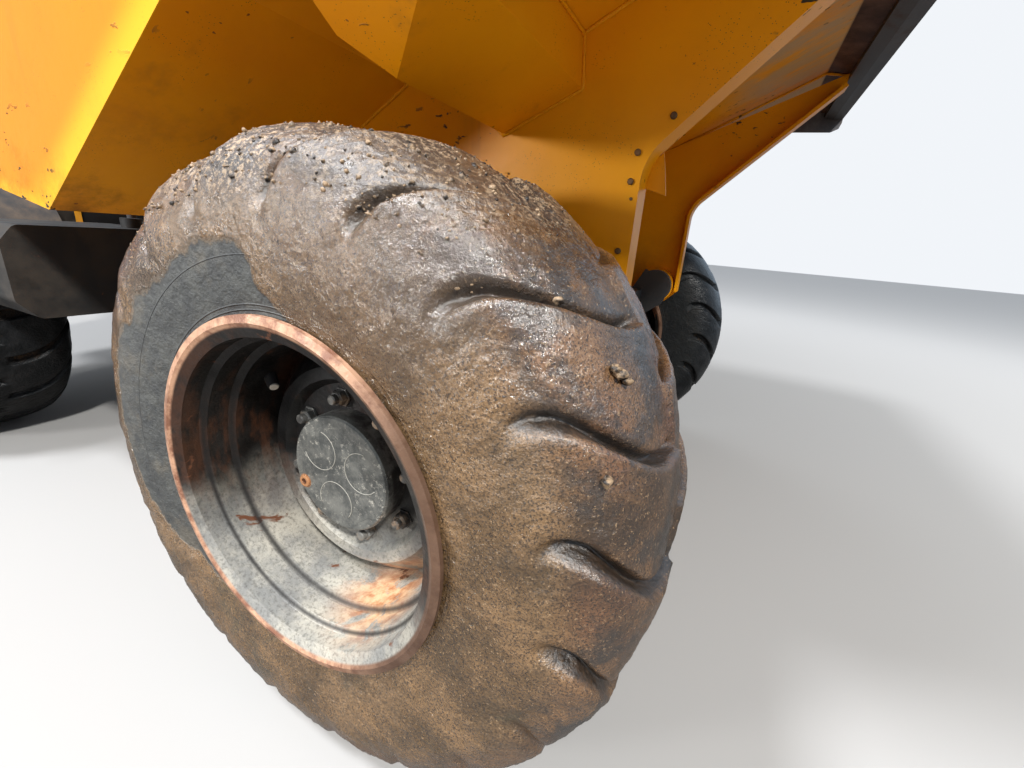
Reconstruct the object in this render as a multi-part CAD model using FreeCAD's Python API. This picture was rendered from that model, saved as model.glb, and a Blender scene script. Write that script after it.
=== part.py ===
import FreeCAD, Part
import math
import os

os.makedirs("parts", exist_ok=True)

# Front-tip site dumper, hinged behind the front axle. Millimetres.
# X points forward, Y to the left, Z up; the origin is on the ground, midway along the machine.

# Main sizes
TYRE_R = 590.0
TYRE_WIDTH = 492.0
BEAD_R = 286.0
FRONT_AXLE_X = 1250.0
REAR_AXLE_X = -1250.0
AXLE_Z = TYRE_R
WHEEL_Y = 1006.5
HUB_BORE_R = 60.0
RUNNING = 0.05
HALF_SKIP = 1150.0
HALF_TROUGH = 608.0
SKIP_PLATE = 8.0
LEG_PLATE = 12.0
LEG_FLANGE = 68.0
PIVOT_X = 1520.0
PIVOT_Z = AXLE_Z + 280.0
PIVOT_PIN_R = 32.0
RAM_Y = HALF_TROUGH - 148
HALF_CHASSIS = 240.0
CHASSIS_PLATE = 24.0
FLOOR_Z = AXLE_Z + 210.0
DECK_Z = FLOOR_Z + 95.0
SHEET = 8.0
HALF_DECK = WHEEL_Y - TYRE_WIDTH / 2 - 25.5
HALF_BONNET = 430.0
ROLL_BAR_Z = 3020.0
ROLL_BAR_Y = 540.0
TANK_Y = 620.0


# Shape helpers
def vec(x, y, z):
    return FreeCAD.Vector(x, y, z)


def box(x0, x1, y0, y1, z0, z1):
    return Part.makeBox(x1 - x0, y1 - y0, z1 - z0, vec(x0, y0, z0))


def prism(points, along):
    face = Part.Face(Part.makePolygon(points + [points[0]]))
    return face.extrude(along)


def side_plate(points, y0, y1):
    """Plate with an outline of (x, z) points, between two y."""
    return prism([vec(x, y0, z) for x, z in points], vec(0, y1 - y0, 0))


def flat_plate(points, z0, z1):
    """Plate with an outline of (x, y) points, between two z."""
    return prism([vec(x, y, z0) for x, y in points], vec(0, 0, z1 - z0))


def cross_plate(points, x0, x1):
    """Plate with an outline of (y, z) points, between two x."""
    return prism([vec(x0, y, z) for y, z in points], vec(x1 - x0, 0, 0))


def bar(start, end, radius):
    a = vec(*start)
    b = vec(*end)
    return Part.makeCylinder(radius, (b - a).Length, a, b - a)


def pin_y(x, z, radius, y0, y1):
    return bar((x, y0, z), (x, y1, z), radius)


def pin_z(x, y, radius, z0, z1):
    return bar((x, y, z0), (x, y, z1), radius)


def fuse(shapes):
    whole = shapes[0]
    if len(shapes) > 1:
        whole = whole.multiFuse(shapes[1:])
    return whole.removeSplitter()


def mirrored(shape):
    return shape.mirror(vec(0, 0, 0), vec(0, 1, 0))


def both(shape):
    return [shape, mirrored(shape)]


def rounded(shape, radius, choose):
    """Shape with a fillet on the straight edges that choose(start, end) picks."""
    edges = []
    for edge in shape.Edges:
        if len(edge.Vertexes) == 2 and choose(edge.Vertexes[0].Point, edge.Vertexes[1].Point):
            edges.append(edge)
    return shape.makeFillet(radius, edges)


def bent_tube(points, bend, radius):
    """Round tube along straight runs with a bend of one radius at each inner point."""
    knots = [vec(*p) for p in points]
    edges = []
    start = knots[0]
    for before, knot, after in zip(knots[:-2], knots[1:-1], knots[2:]):
        u = (before - knot).normalize()
        v = (after - knot).normalize()
        half = u.getAngle(v) / 2.0
        cut = bend / math.tan(half)
        centre = knot + (u + v).normalize() * (bend / math.sin(half))
        a = knot + u * cut
        b = knot + v * cut
        middle = centre + (knot - centre).normalize() * bend
        edges.append(Part.LineSegment(start, a).toShape())
        edges.append(Part.Arc(a, middle, b).toShape())
        start = b
    edges.append(Part.LineSegment(start, knots[-1]).toShape())
    wire = Part.Wire(edges)
    ring = Part.Wire(Part.makeCircle(radius, knots[0], knots[1] - knots[0]))
    return wire.makePipeShell([ring], True, False)


def inset(path, thickness):
    """Open path of (x, z) points moved sideways by a plate thickness."""
    lines = []
    for (x0, z0), (x1, z1) in zip(path[:-1], path[1:]):
        length = math.hypot(x1 - x0, z1 - z0)
        nx = (z1 - z0) / length
        nz = -(x1 - x0) / length
        lines.append((x0 + nx * thickness, z0 + nz * thickness, x1 - x0, z1 - z0))
    out = [(lines[0][0], lines[0][1])]
    for (px, pz, ux, uz), (qx, qz, vx, vz) in zip(lines[:-1], lines[1:]):
        t = ((qx - px) * vz - (qz - pz) * vx) / (ux * vz - uz * vx)
        out.append((px + ux * t, pz + uz * t))
    px, pz, ux, uz = lines[-1]
    out.append((px + ux, pz + uz))
    return out


def height_on(path, x):
    """Height of an open path of (x, z) points at x."""
    for (x0, z0), (x1, z1) in zip(path[:-1], path[1:]):
        if min(x0, x1) <= x <= max(x0, x1) and x0 != x1:
            return z0 + (z1 - z0) * (x - x0) / (x1 - x0)
    return path[-1][1]


def turned(path):
    """Ring about the Y axis through the origin, from a closed path of (offset outboard, radius)."""
    face = Part.Face(Part.makePolygon([vec(0, s, r) for s, r in path + [path[0]]]))
    return face.revolve(vec(0, 0, 0), vec(0, 1, 0), 360)


def save(name, shape):
    shape.exportStep("parts/" + name + ".step")
    print(name, len(shape.Solids), round(shape.Volume / 1e6, 2), "litres")


# Wheel: flotation tyre on a deep dished rim with a planetary hub. Built about the origin,
# outboard side towards +Y, then moved to each axle end and mirrored on the right.
PITCHES = 19
FLATS = (36, 12)
HALF_TYRE = TYRE_WIDTH / 2
CROWN_S = 0.6 * HALF_TYRE
SHOULDER_S = HALF_TYRE - 16
SHOULDER_R = TYRE_R - 48
BULGE_R = BEAD_R + 150
TYRE_SECTION = [(CROWN_S, TYRE_R), (SHOULDER_S, SHOULDER_R), (HALF_TYRE, BULGE_R), (HALF_TYRE - 14, BEAD_R)]
GROOVE_SLANT = -18.0


def around(offset, radius, degrees):
    a = math.radians(degrees)
    return vec(radius * math.cos(a), offset, radius * math.sin(a))


def faceted_ring(half_section, flats, grow):
    """Ring of flat facets from (offset, radius) points of the outboard half, one flat at the ground."""
    section = [(-s, r) for s, r in half_section[::-1]] + half_section
    step = 360.0 / flats
    faces = []
    for i in range(flats):
        a0 = -90 - step / 2 + i * step
        a1 = a0 + step
        for (s0, r0), (s1, r1) in zip(section, section[1:] + section[:1]):
            corners = [around(s0, r0 * grow, a0), around(s1, r1 * grow, a0),
                       around(s1, r1 * grow, a1), around(s0, r0 * grow, a1)]
            faces.append(Part.Face(Part.makePolygon(corners + [corners[0]])))
    body = Part.Solid(Part.Shell(faces))
    if body.Volume < 0:
        body.reverse()
    return body


def groove(side, degrees):
    """Wedge between two lugs, from the shoulder in and forward towards the middle of the tread."""
    middle = math.radians(degrees + GROOVE_SLANT / 2)
    out = vec(math.cos(middle), 0, math.sin(middle))
    along = vec(-math.sin(middle), 0, math.cos(middle))
    start = around(side * (SHOULDER_S + 4), SHOULDER_R - 4, degrees)
    end = around(side * 24, TYRE_R + 2, degrees + GROOVE_SLANT)
    corners = [start, start + out * 70 + along * 26, start + out * 70 - along * 26]
    return Part.Face(Part.makePolygon(corners + [corners[0]])).extrude(end - start)


grooves = []
for i in range(PITCHES):
    grooves.append(groove(1, -90 + i * 360.0 / PITCHES))
    grooves.append(groove(-1, -90 + (i + 0.5) * 360.0 / PITCHES))
outside = faceted_ring(TYRE_SECTION, FLATS[0], 1 / math.cos(math.pi / FLATS[0]))
inside = faceted_ring([(SHOULDER_S - 40, TYRE_R - 66), (HALF_TYRE - 50, BEAD_R - 40)], FLATS[1], 1.0)
tyre = outside.cut(grooves + [inside])

SEAT_S = HALF_TYRE - 10
FLANGE_S = HALF_TYRE + 4
FLANGE_R = BEAD_R + 27
STUD_CIRCLE_R = 140.0
STUDS = 8
PILOT_R = 117.0
DISC_S = 80.0
DISC_RING_R = 190.0
RIM_PATH = [
    (FLANGE_S, FLANGE_R - 12), (FLANGE_S - 3, FLANGE_R), (SEAT_S + 3, FLANGE_R), (SEAT_S, FLANGE_R - 6),
    (SEAT_S, BEAD_R), (SEAT_S - 31, BEAD_R), (SEAT_S - 40, BEAD_R - 10), (158, BEAD_R - 10),
    (148, BEAD_R - 22), (-120, BEAD_R - 22), (-150, BEAD_R - 10), (35 - SEAT_S, BEAD_R),
    (-SEAT_S, BEAD_R), (-SEAT_S, FLANGE_R), (-FLANGE_S, FLANGE_R), (-FLANGE_S, FLANGE_R - 12),
    (2 - SEAT_S, BEAD_R - 8), (-204, BEAD_R - 8), (-152, BEAD_R - 18), (-122, BEAD_R - 30),
    (24, BEAD_R - 30), (DISC_S + 6, DISC_RING_R + 8), (DISC_S + 6, DISC_RING_R - 10),
    (DISC_S - 12, DISC_RING_R - 22), (DISC_S - 12, PILOT_R), (DISC_S, PILOT_R), (DISC_S, DISC_RING_R - 24),
    (DISC_S + 18, DISC_RING_R - 12), (DISC_S + 18, DISC_RING_R + 12), (42, BEAD_R - 30), (150, BEAD_R - 30), (158, BEAD_R - 18), (198, BEAD_R - 18), (207, BEAD_R - 8),
    (SEAT_S + 2, BEAD_R - 8),
]
HUB_PATH = [
    (-255, HUB_BORE_R), (-255, 118), (-235, 128), (20, 128), (DISC_S - 34, 118), (DISC_S - 34, DISC_RING_R - 26),
    (DISC_S - 12, DISC_RING_R - 26), (DISC_S - 12, PILOT_R), (DISC_S + 39, PILOT_R), (DISC_S + 46, PILOT_R - 8),
    (DISC_S + 46, 0), (40, 0), (40, HUB_BORE_R),
]
rim = turned(RIM_PATH)
hub = turned(HUB_PATH)
nuts = []
for i in range(STUDS):
    stud = around(0, STUD_CIRCLE_R, 102 + i * 360.0 / STUDS)
    rim = rim.cut(pin_y(stud.x, stud.z, 11, DISC_S - 20, DISC_S + 5))
    nuts.append(pin_y(stud.x, stud.z, 11, DISC_S - 34, DISC_S + 30))
    nuts.append(pin_y(stud.x, stud.z, 17, DISC_S, DISC_S + 18))
for i in range(4):
    hole = around(0, 230, 57 + i * 90)
    rim = rim.cut(pin_y(hole.x, hole.z, 18, 10, 120))
hub = fuse([hub] + nuts)
hub = hub.fuse(pin_y(-90, 20, 11, DISC_S + 40, DISC_S + 54)).removeSplitter()

# name, axle x, side
WHEELS = [
    ("front_left", FRONT_AXLE_X, 1),
    ("front_right", FRONT_AXLE_X, -1),
    ("rear_left", REAR_AXLE_X, 1),
    ("rear_right", REAR_AXLE_X, -1),
]
for name, axle_x, side in WHEELS:
    for kind, piece in (("tyre_", tyre), ("rim_", rim), ("hub_", hub)):
        placed = piece.copy()
        placed.translate(vec(axle_x, WHEEL_Y, AXLE_Z))
        if side < 0:
            placed = mirrored(placed)
        save(kind + name, placed)


# Axles: bevel-gear bulb, box arms, flanges, spindles and spring pads
def axle(x, nose):
    parts = [Part.makeSphere(175, vec(x, 0, AXLE_Z)), pin_y(x, AXLE_Z, 150, -120, 120)]
    parts.append(bar((x, 0, AXLE_Z), (x + nose * 250, 0, AXLE_Z), 68))
    parts.append(bar((x, 0, AXLE_Z), (x + nose * 215, 0, AXLE_Z), 84))
    parts.append(bar((x, 0, AXLE_Z), (x - nose * 168, 0, AXLE_Z), 118))
    for side in (1, -1):
        sections = []
        for y, s in ((100, 95), (330, 72)):
            ring = [vec(x - s, side * y, AXLE_Z - s), vec(x + s, side * y, AXLE_Z - s),
                    vec(x + s, side * y, AXLE_Z + s), vec(x - s, side * y, AXLE_Z + s)]
            sections.append(Part.makePolygon(ring + [ring[0]]))
        parts.append(Part.makeLoft(sections, True))
        flange_y = WHEEL_Y - 255 - 7
        ends = [(330, flange_y - 45), (flange_y - 45, flange_y)]
        lo, hi = sorted((side * ends[0][0], side * ends[0][1]))
        parts.append(box(x - 72, x + 72, lo, hi, AXLE_Z - 72, AXLE_Z + 72))
        parts.append(pin_y(x, AXLE_Z, 124, side * ends[1][0], side * ends[1][1]))
        parts.append(pin_y(x, AXLE_Z, 100, side * (ends[1][0] - 40), side * ends[1][0]))
        pad_lo, pad_hi = sorted((side * (HALF_CHASSIS - 35), side * (HALF_CHASSIS + 85)))
        parts.append(box(x - 95, x + 95, pad_lo, pad_hi, AXLE_Z + 40, AXLE_Z + 100))
    body = fuse(parts)
    spindle = pin_y(x, AXLE_Z, HUB_BORE_R - RUNNING, -WHEEL_Y - 35, WHEEL_Y + 35)
    return body.fuse(spindle).removeSplitter()


save("front_axle", axle(FRONT_AXLE_X, -1))
save("rear_axle", axle(REAR_AXLE_X, 1))

# Skip: shell bent from plate, outlines of (x, z) from the lip to the rear rim
LIP = (2145.0, 1695.0)
LIP_BACK = (1995.0, 1720.0)
KNEE = (1450.0, 1446.0)
REAR_FOLDS = [(397.0, 1010.0), (159.0, 1049.0), (-40.0, 1083.0), (-120.0, 1900.0)]
SIDE_PATH = [LIP, LIP_BACK, KNEE, (1000.0, 1382.0)] + REAR_FOLDS
TROUGH_PATH = [LIP, LIP_BACK, (1300.0, 1370.5871559633028), (850.0, 1000.0)] + REAR_FOLDS
RIM_LINE = [REAR_FOLDS[-1], (1450.0, 1880.0), (1990.0, 1810.0), (2145.0, 1712.0)]


def shell_solid(path, half):
    return side_plate(path + RIM_LINE[1:], -half, half)


def hollow_solid(path, half):
    inner = inset(path, SKIP_PLATE)
    first = inner[0]
    last = inner[-1]
    roof = [(last[0], 2100), (first[0] + 60, 2100), (first[0] + 60, first[1] - 10)]
    return side_plate(inner + roof, -half, half)


tub = shell_solid(SIDE_PATH, HALF_SKIP).fuse(shell_solid(TROUGH_PATH, HALF_TROUGH))
tub = tub.cut(hollow_solid(SIDE_PATH, HALF_SKIP - SKIP_PLATE))
tub = tub.cut(hollow_solid(TROUGH_PATH, HALF_TROUGH - SKIP_PLATE))
APRON_X = 1925.0
APRON_LOW = [(APRON_X, 1628), (1500, 1420)]
apron = side_plate([KNEE, (APRON_X, height_on(SIDE_PATH, APRON_X))] + APRON_LOW, HALF_SKIP - SKIP_PLATE, HALF_SKIP)


def in_rear_wall(z):
    """Point (x, z) in the middle of the rear wall's plate."""
    (x0, z0), (x1, z1) = REAR_FOLDS[-2:]
    return (x0 + (x1 - x0) * (z - z0) / (z1 - z0) + SKIP_PLATE / 2, z)


# Box section round the skip's rim, then the bar and the three ribs on its rear wall
RIM_END_X = 2060.0
rim_side = side_plate([in_rear_wall(1900.0), (1450, 1880), (1990, 1810), (RIM_END_X, height_on(RIM_LINE, RIM_END_X)),
                       (RIM_END_X, 1738), (1985, 1770), (1445, 1840), in_rear_wall(1860.0)],
                      HALF_SKIP - SKIP_PLATE / 2, HALF_SKIP + 45)
rim_rear = side_plate([in_rear_wall(1900.0), in_rear_wall(1830.0), (-165, 1830), (-165, 1900)],
                      -HALF_SKIP - 45, HALF_SKIP + 45)
ribs = []
for y in (-640, 0, 640):
    ribs.append(side_plate([in_rear_wall(1124.0), in_rear_wall(1860.0), (-160, 1860), (-84, 1124)], y - 30, y + 30))

# Gusset boxes over the front tyres: outline of (x, z), with the outer end cut up and out
BOX_SECTION = [(1280, 1262), (1460, 1345), (KNEE[0], KNEE[1] + 4), (1240, height_on(SIDE_PATH, 1240.0) + 4),
               (1225, 1300)]
gusset = side_plate(BOX_SECTION, HALF_TROUGH + LEG_PLATE, HALF_SKIP)
wedge = cross_plate([(HALF_SKIP - 150, 1200), (HALF_SKIP - 150, 1262), (HALF_SKIP + 10, 1350),
                     (HALF_SKIP + 10, 1200)], 1200, 1480)
gusset = gusset.cut(wedge)
save("skip_tub", fuse([tub, rim_rear] + ribs + both(apron) + both(rim_side) + both(gusset)))

# Skip legs: side plates with a folded front flange, hinge bosses and ram ears
LEG_BEND = (1612.0, 1213.0)
LEG_BEND_R = 110.0
LIP_X = 2068.0
LEG_TOP_X = LIP_X - 2
LEG_FRONT = [(1615, 850), LEG_BEND, (LEG_TOP_X, 1651)]
LEG_LOW = [(1230, 925), (1450, 800), (1560, 795)]
floor_line = [(x, z - 0.02) for x, z in SIDE_PATH]
leg_top = [(LEG_TOP_X, height_on(floor_line, LEG_TOP_X))] + floor_line[2:5]
LEG_OUTLINE = LEG_FRONT + leg_top + LEG_LOW
leg_outer = HALF_TROUGH + LEG_PLATE


def bent(plate, knee, radius):
    """Plate with a bend radius at one corner (x, z) of its outline."""
    return rounded(plate, radius, lambda a, b: abs(a.x - knee[0]) < 1 and abs(a.z - knee[1]) < 1
                   and abs(b.x - knee[0]) < 1 and abs(b.z - knee[1]) < 1)


leg_parts = [bent(side_plate(LEG_OUTLINE, HALF_TROUGH, leg_outer), LEG_BEND, LEG_BEND_R)]
back_edge = inset(LEG_FRONT[::-1], LEG_PLATE)[::-1]
flange = side_plate(LEG_FRONT + back_edge[::-1], HALF_TROUGH - LEG_FLANGE, HALF_TROUGH)
flange = bent(bent(flange, LEG_BEND, LEG_BEND_R), back_edge[1], LEG_BEND_R + LEG_PLATE)
over_floor = floor_line[:3] + [(1400, height_on(floor_line, 1400.0)), (1400, 1900), (floor_line[0][0], 1900)]
leg_parts.append(flange.cut(side_plate(over_floor, 400, HALF_TROUGH)))
leg_parts.append(pin_y(PIVOT_X, PIVOT_Z, 75, HALF_TROUGH - 63, leg_outer + 6))
leg = fuse(leg_parts)
leg = leg.cut(pin_y(PIVOT_X, PIVOT_Z, PIVOT_PIN_R + RUNNING, 400, HALF_SKIP))
fin_y = LEG_FLANGE - HALF_TROUGH
fin = side_plate([(1604, 1165), (1659, 1149), (1646, 1212), (1640, 1236), (1604, 1200)], fin_y - 8, fin_y)
RAM_EYE = (1130.0, 960.0)
trough_line = [(x, z - 0.05) for x, z in TROUGH_PATH]
EAR = [(1070, 1060), (1088, 960), (1105, 925), (1130, 916), (1155, 925), (1172, 960), (1240, 1180),
       (1250, height_on(trough_line, 1250.0)), (1070, height_on(trough_line, 1070.0))]
ears = []
for side in (1, -1):
    y0, y1 = sorted((RAM_Y + side * 34, RAM_Y + side * 49))
    head = sorted((RAM_Y + side * 49, RAM_Y + side * 58))
    ears.append(side_plate(EAR, y0, y1).fuse(pin_y(RAM_EYE[0], RAM_EYE[1], 28, head[0], head[1])))
right_leg = mirrored(leg).fuse(fin).removeSplitter()
save("skip_legs", Part.makeCompound([leg, right_leg] + both(ears[0]) + both(ears[1])))

# Wear edge under the skip's lip, with a bevel, and its corner plates at both sides
lip = side_plate([(LIP_X, height_on(SIDE_PATH, LIP_X)), LIP, (LIP[0], LIP[1] - 15), (2106, 1676), (LIP_X, 1688)],
                 -HALF_SKIP, HALF_SKIP)
corner = side_plate([(APRON_X, 1628), (APRON_X, height_on(SIDE_PATH, APRON_X)), LIP_BACK, LIP, (LIP[0], 1662),
                     (2138, 1640), (2108, 1625)], HALF_SKIP - SKIP_PLATE, HALF_SKIP)
save("skip_lip", fuse([lip] + both(corner)))

# Front chassis: side plates, cross members, skip hinge lugs and pins, articulation lugs
INSIDE = HALF_CHASSIS - CHASSIS_PLATE
arch_z = AXLE_Z + 100
FRONT_SIDE = [(90, 400), (90, 890), (300, 930), (1150, 900), (1390, 880), (1470, 860), (1470, 720),
              (1410, arch_z), (1090, arch_z), (1000, 440), (300, 400)]
side_wall = side_plate(FRONT_SIDE, INSIDE, HALF_CHASSIS)
for x, z, r in ((430, 700, 60), (640, 790, 45), (860, 760, 55)):
    side_wall = side_wall.cut(pin_y(x, z, r, INSIDE - 5, HALF_CHASSIS + 5))
front = both(side_wall)
lug_in = RAM_Y + 20
lug_out = HALF_TROUGH - LEG_FLANGE - 15
front.append(box(1390, 1470, -lug_out + 5, lug_out - 5, 730, 850))
for side in (1, -1):
    lo, hi = sorted((side * lug_in, side * lug_out))
    lug = side_plate([(1425, 725), (1475, 725), (1560, 790), (1585, 850), (1470, 940), (1425, 855)], lo, hi)
    front.append(lug.fuse(pin_y(PIVOT_X, PIVOT_Z, 72, lo, hi)))
    front.append(pin_y(PIVOT_X, PIVOT_Z, PIVOT_PIN_R, side * (lug_out - 5), side * (leg_outer + 24)))
    front.append(pin_y(PIVOT_X, PIVOT_Z, 56, side * (leg_outer + 12), side * (leg_outer + 24)))
TIP_BASE = (330.0, 560.0)
front.append(box(225, 285, -RAM_Y - 55, RAM_Y + 55, 440, AXLE_Z - 40))
for side in (1, -1):
    y0, y1 = sorted((RAM_Y + side * 34, RAM_Y + side * 50))
    ear = side_plate([(285, 500), (330, 515), (330, 605), (285, 549)], y0, y1)
    front += both(ear.fuse(pin_y(TIP_BASE[0], TIP_BASE[1], 45, y0, y1)))
front += both(pin_y(TIP_BASE[0], TIP_BASE[1], 22, RAM_Y - 50, RAM_Y + 50))
front.append(box(600, 680, -INSIDE, INSIDE, 440, 520))
front.append(box(1030, 1090, -INSIDE, INSIDE, 780, 890))
TONGUE = [(90, -HALF_CHASSIS), (130, -HALF_CHASSIS), (130, HALF_CHASSIS), (90, HALF_CHASSIS), (0, 90), (0, -90)]
for z0, z1 in ((390, 415), (475, 500), (760, 785), (865, 890)):
    front.append(flat_plate(TONGUE, z0, z1).fuse(pin_z(0, 0, 90, z0, z1)))
front.append(box(90, 130, -HALF_CHASSIS, HALF_CHASSIS, 390, 500))
front.append(box(90, 130, -HALF_CHASSIS, HALF_CHASSIS, 760, 890))
front.append(pin_z(0, 0, 35, 375, 515))
front.append(pin_z(0, 0, 35, 745, 905))
front.append(pin_z(0, 0, 60, 890, 900))
STEER_BASE = (560.0, HALF_CHASSIS + 90)
STEER_Z = 640.0
for z0, z1 in ((590, 604), (676, 690)):
    front.append(flat_plate([(510, HALF_CHASSIS), (510, 330), (530, 362), (560, 378), (590, 362), (620, 330),
                             (620, HALF_CHASSIS)], z0, z1))
front.append(pin_z(STEER_BASE[0], STEER_BASE[1], 16, 584, 696))
front += both(box(240, 360, INSIDE, HALF_CHASSIS + 70, 890, 985))
front += both(box(250, 350, INSIDE + 10, HALF_CHASSIS + 60, 985, 1008))
save("front_chassis", fuse(front))


# Rams: barrel with a base eye, rod with an eye at the far end
def ram_pieces(base, eye, rod_start, barrel_r, rod_r, eye_r, half, barrel_length, pin_r):
    a = vec(*base)
    b = vec(*eye)
    way = (b - a).normalize()
    reach = (b - a).Length
    across = vec(0, 1, 0) if abs(way.z) > 0.01 else vec(0, 0, 1)
    barrel = Part.makeCylinder(barrel_r, barrel_length - 50, a + way * 50, way)
    barrel = barrel.fuse(Part.makeCylinder(barrel_r + 5, 36, a + way * (barrel_length - 36), way))
    barrel = barrel.fuse(Part.makeCylinder(eye_r, 2 * half, a - across * half, across))
    barrel = barrel.fuse(Part.makeCylinder(eye_r * 0.7, 70, a, way))
    barrel = barrel.cut(Part.makeCylinder(pin_r + RUNNING, 4 * half, a - across * 2 * half, across))
    barrel = barrel.cut(Part.makeCylinder(rod_r + RUNNING, barrel_length, a + way * 70, way))
    rod = Part.makeCylinder(rod_r, reach - rod_start, a + way * rod_start, way)
    rod = rod.fuse(Part.makeCylinder(eye_r, 2 * half, b - across * half, across))
    return barrel.removeSplitter(), rod.removeSplitter()


for name, side in (("left", 1), ("right", -1)):
    y = side * RAM_Y
    barrel, rod = ram_pieces((TIP_BASE[0], y, TIP_BASE[1]), (RAM_EYE[0], y, RAM_EYE[1]),
                             100, 48, 26, 42, 29, 760, 22)
    save("tip_barrel_" + name, barrel)
    save("tip_rod_" + name, rod)

STEER_EYE = (-150.0, HALF_CHASSIS + 130)
barrel, rod = ram_pieces((STEER_BASE[0], STEER_BASE[1], STEER_Z), (STEER_EYE[0], STEER_EYE[1], STEER_Z),
                         265, 31, 18, 32, 28, 480, 16)
save("steer_barrel", barrel)
save("steer_rod", rod)

# Propeller shaft in two halves, with a cross joint on the articulation axis
front_end = FRONT_AXLE_X - 250
front_half = [bar((60, 0, AXLE_Z), (front_end, 0, AXLE_Z), 32), bar((560, 0, AXLE_Z), (front_end, 0, AXLE_Z), 40)]
front_half.append(bar((front_end - 24, 0, AXLE_Z), (front_end, 0, AXLE_Z), 62))
for side in (1, -1):
    lo, hi = sorted((side * 38, side * 54))
    front_half.append(box(-20, 72, lo, hi, AXLE_Z - 22, AXLE_Z + 22))
front_half.append(box(56, 76, -54, 54, AXLE_Z - 30, AXLE_Z + 30))
front_half.append(bar((0, -54, AXLE_Z), (0, 54, AXLE_Z), 14))
front_half.append(pin_z(0, 0, 14, AXLE_Z - 50, AXLE_Z + 50))
save("shaft_front", fuse(front_half))
gearbox_x = -700.0
rear_half = [bar((gearbox_x, 0, AXLE_Z), (-66, 0, AXLE_Z), 32), bar((gearbox_x, 0, AXLE_Z), (gearbox_x + 24, 0, AXLE_Z), 62)]
for z0, z1 in ((AXLE_Z - 54, AXLE_Z - 38), (AXLE_Z + 38, AXLE_Z + 54)):
    rear_half.append(box(-76, 20, -22, 22, z0, z1))
rear_half.append(box(-86, -66, -30, 30, AXLE_Z - 54, AXLE_Z + 54))
shaft_rear = fuse(rear_half).cut(pin_z(0, 0, 14 + RUNNING, AXLE_Z - 60, AXLE_Z + 60))
save("shaft_rear", shaft_rear)

# Rear chassis: side plates, cross members and articulation tongues
REAR_SIDE = [(-250, 420), (-250, FLOOR_Z), (-1180, FLOOR_Z), (-1180, DECK_Z), (-2065, DECK_Z), (-2065, 620),
             (-1440, 620), (-1410, arch_z), (-1090, arch_z), (-1040, 440), (-900, 420)]
rear = both(side_plate(REAR_SIDE, INSIDE, HALF_CHASSIS))
for z0, z1 in ((420, 470), (790, 860)):
    tongue = flat_plate([(0, -75), (-260, -INSIDE), (-260, INSIDE), (0, 75)], z0, z1)
    tongue = tongue.fuse(pin_z(0, 0, 75, z0, z1))
    rear.append(tongue.cut(pin_z(0, 0, 35 + RUNNING, z0 - 5, z1 + 5)))
rear.append(box(-290, -250, -INSIDE, INSIDE, 420, AXLE_Z - 60))
rear.append(box(-290, -250, -INSIDE, INSIDE, AXLE_Z + 70, 860))
rear.append(box(-1060, -1020, -INSIDE, INSIDE, AXLE_Z + 90, FLOOR_Z))
rear.append(box(-2065, -2025, -INSIDE, INSIDE, 620, DECK_Z))
rear.append(box(-1560, -1500, -INSIDE, INSIDE, 620, 690))
EYE_PLATE = [(-250, INSIDE), (-360, HALF_CHASSIS), (-360, HALF_CHASSIS + 60), (-190, HALF_CHASSIS + 165),
             (-150, HALF_CHASSIS + 172), (-122, HALF_CHASSIS + 158), (-110, HALF_CHASSIS + 130),
             (-150, HALF_CHASSIS + 85)]
for z0, z1, h0, h1 in ((590, 607, 583, 590), (673, 690, 690, 697)):
    rear.append(flat_plate(EYE_PLATE, z0, z1))
    rear.append(pin_z(STEER_EYE[0], STEER_EYE[1], 24, h0, h1))
for side in (1, -1):
    lo, hi = sorted((side * HALF_CHASSIS, side * TANK_Y))
    for x in (-470, -290):
        rear.append(box(x, x + 40, lo, hi, FLOOR_Z - 60, FLOOR_Z))
save("rear_chassis", fuse(rear))

# Engine, radiator and gearbox: plain blocks at their real place
engine = [box(-1900, -1440, -200, 200, 700, 1190), box(-1880, -1500, -INSIDE, INSIDE, 700, 760)]
engine.append(box(-2010, -1950, -280, 280, DECK_Z + SHEET, 1290))
engine.append(box(-1950, -1900, -120, 120, 930, 1170))
save("engine", fuse(engine))
gearbox = [box(-1000, gearbox_x, -150, 150, 470, FLOOR_Z - 30), box(-900, -800, -INSIDE, INSIDE, 640, 720)]
save("gearbox", fuse(gearbox))

# Tanks either side of the platform, with rounded corners; the left one carries the step
TANK_X0 = -590.0
TANK_X1 = -150.0
TANK_TOP = FLOOR_Z + 150
tank = cross_plate([(TANK_Y, FLOOR_Z - 140), (1040, FLOOR_Z - 140), (1090, FLOOR_Z - 80), (1090, FLOOR_Z + 100),
                    (1050, TANK_TOP), (TANK_Y, TANK_TOP)], TANK_X0, TANK_X1)
tank = rounded(tank, 28, lambda a, b: abs(a.x - b.x) > 100 and min(a.y, b.y) > 1000)
fuel_cap = pin_z(-500, TANK_Y + 140, 42, TANK_TOP, TANK_TOP + 25)
step_z = FLOOR_Z - 400
step = [box(-560, -180, 700, 1000, step_z, step_z + 10), box(-560, -180, 990, 1000, step_z + 10, step_z + 35)]
for x in (-560, -190):
    step.append(box(x, x + 10, 700, 760, step_z + 10, FLOOR_Z - 138))
save("fuel_tank", fuse([tank, fuel_cap] + step))
save("hydraulic_tank", mirrored(tank.fuse(pin_z(-240, TANK_Y + 80, 34, TANK_TOP, TANK_TOP + 35))).removeSplitter())

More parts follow.
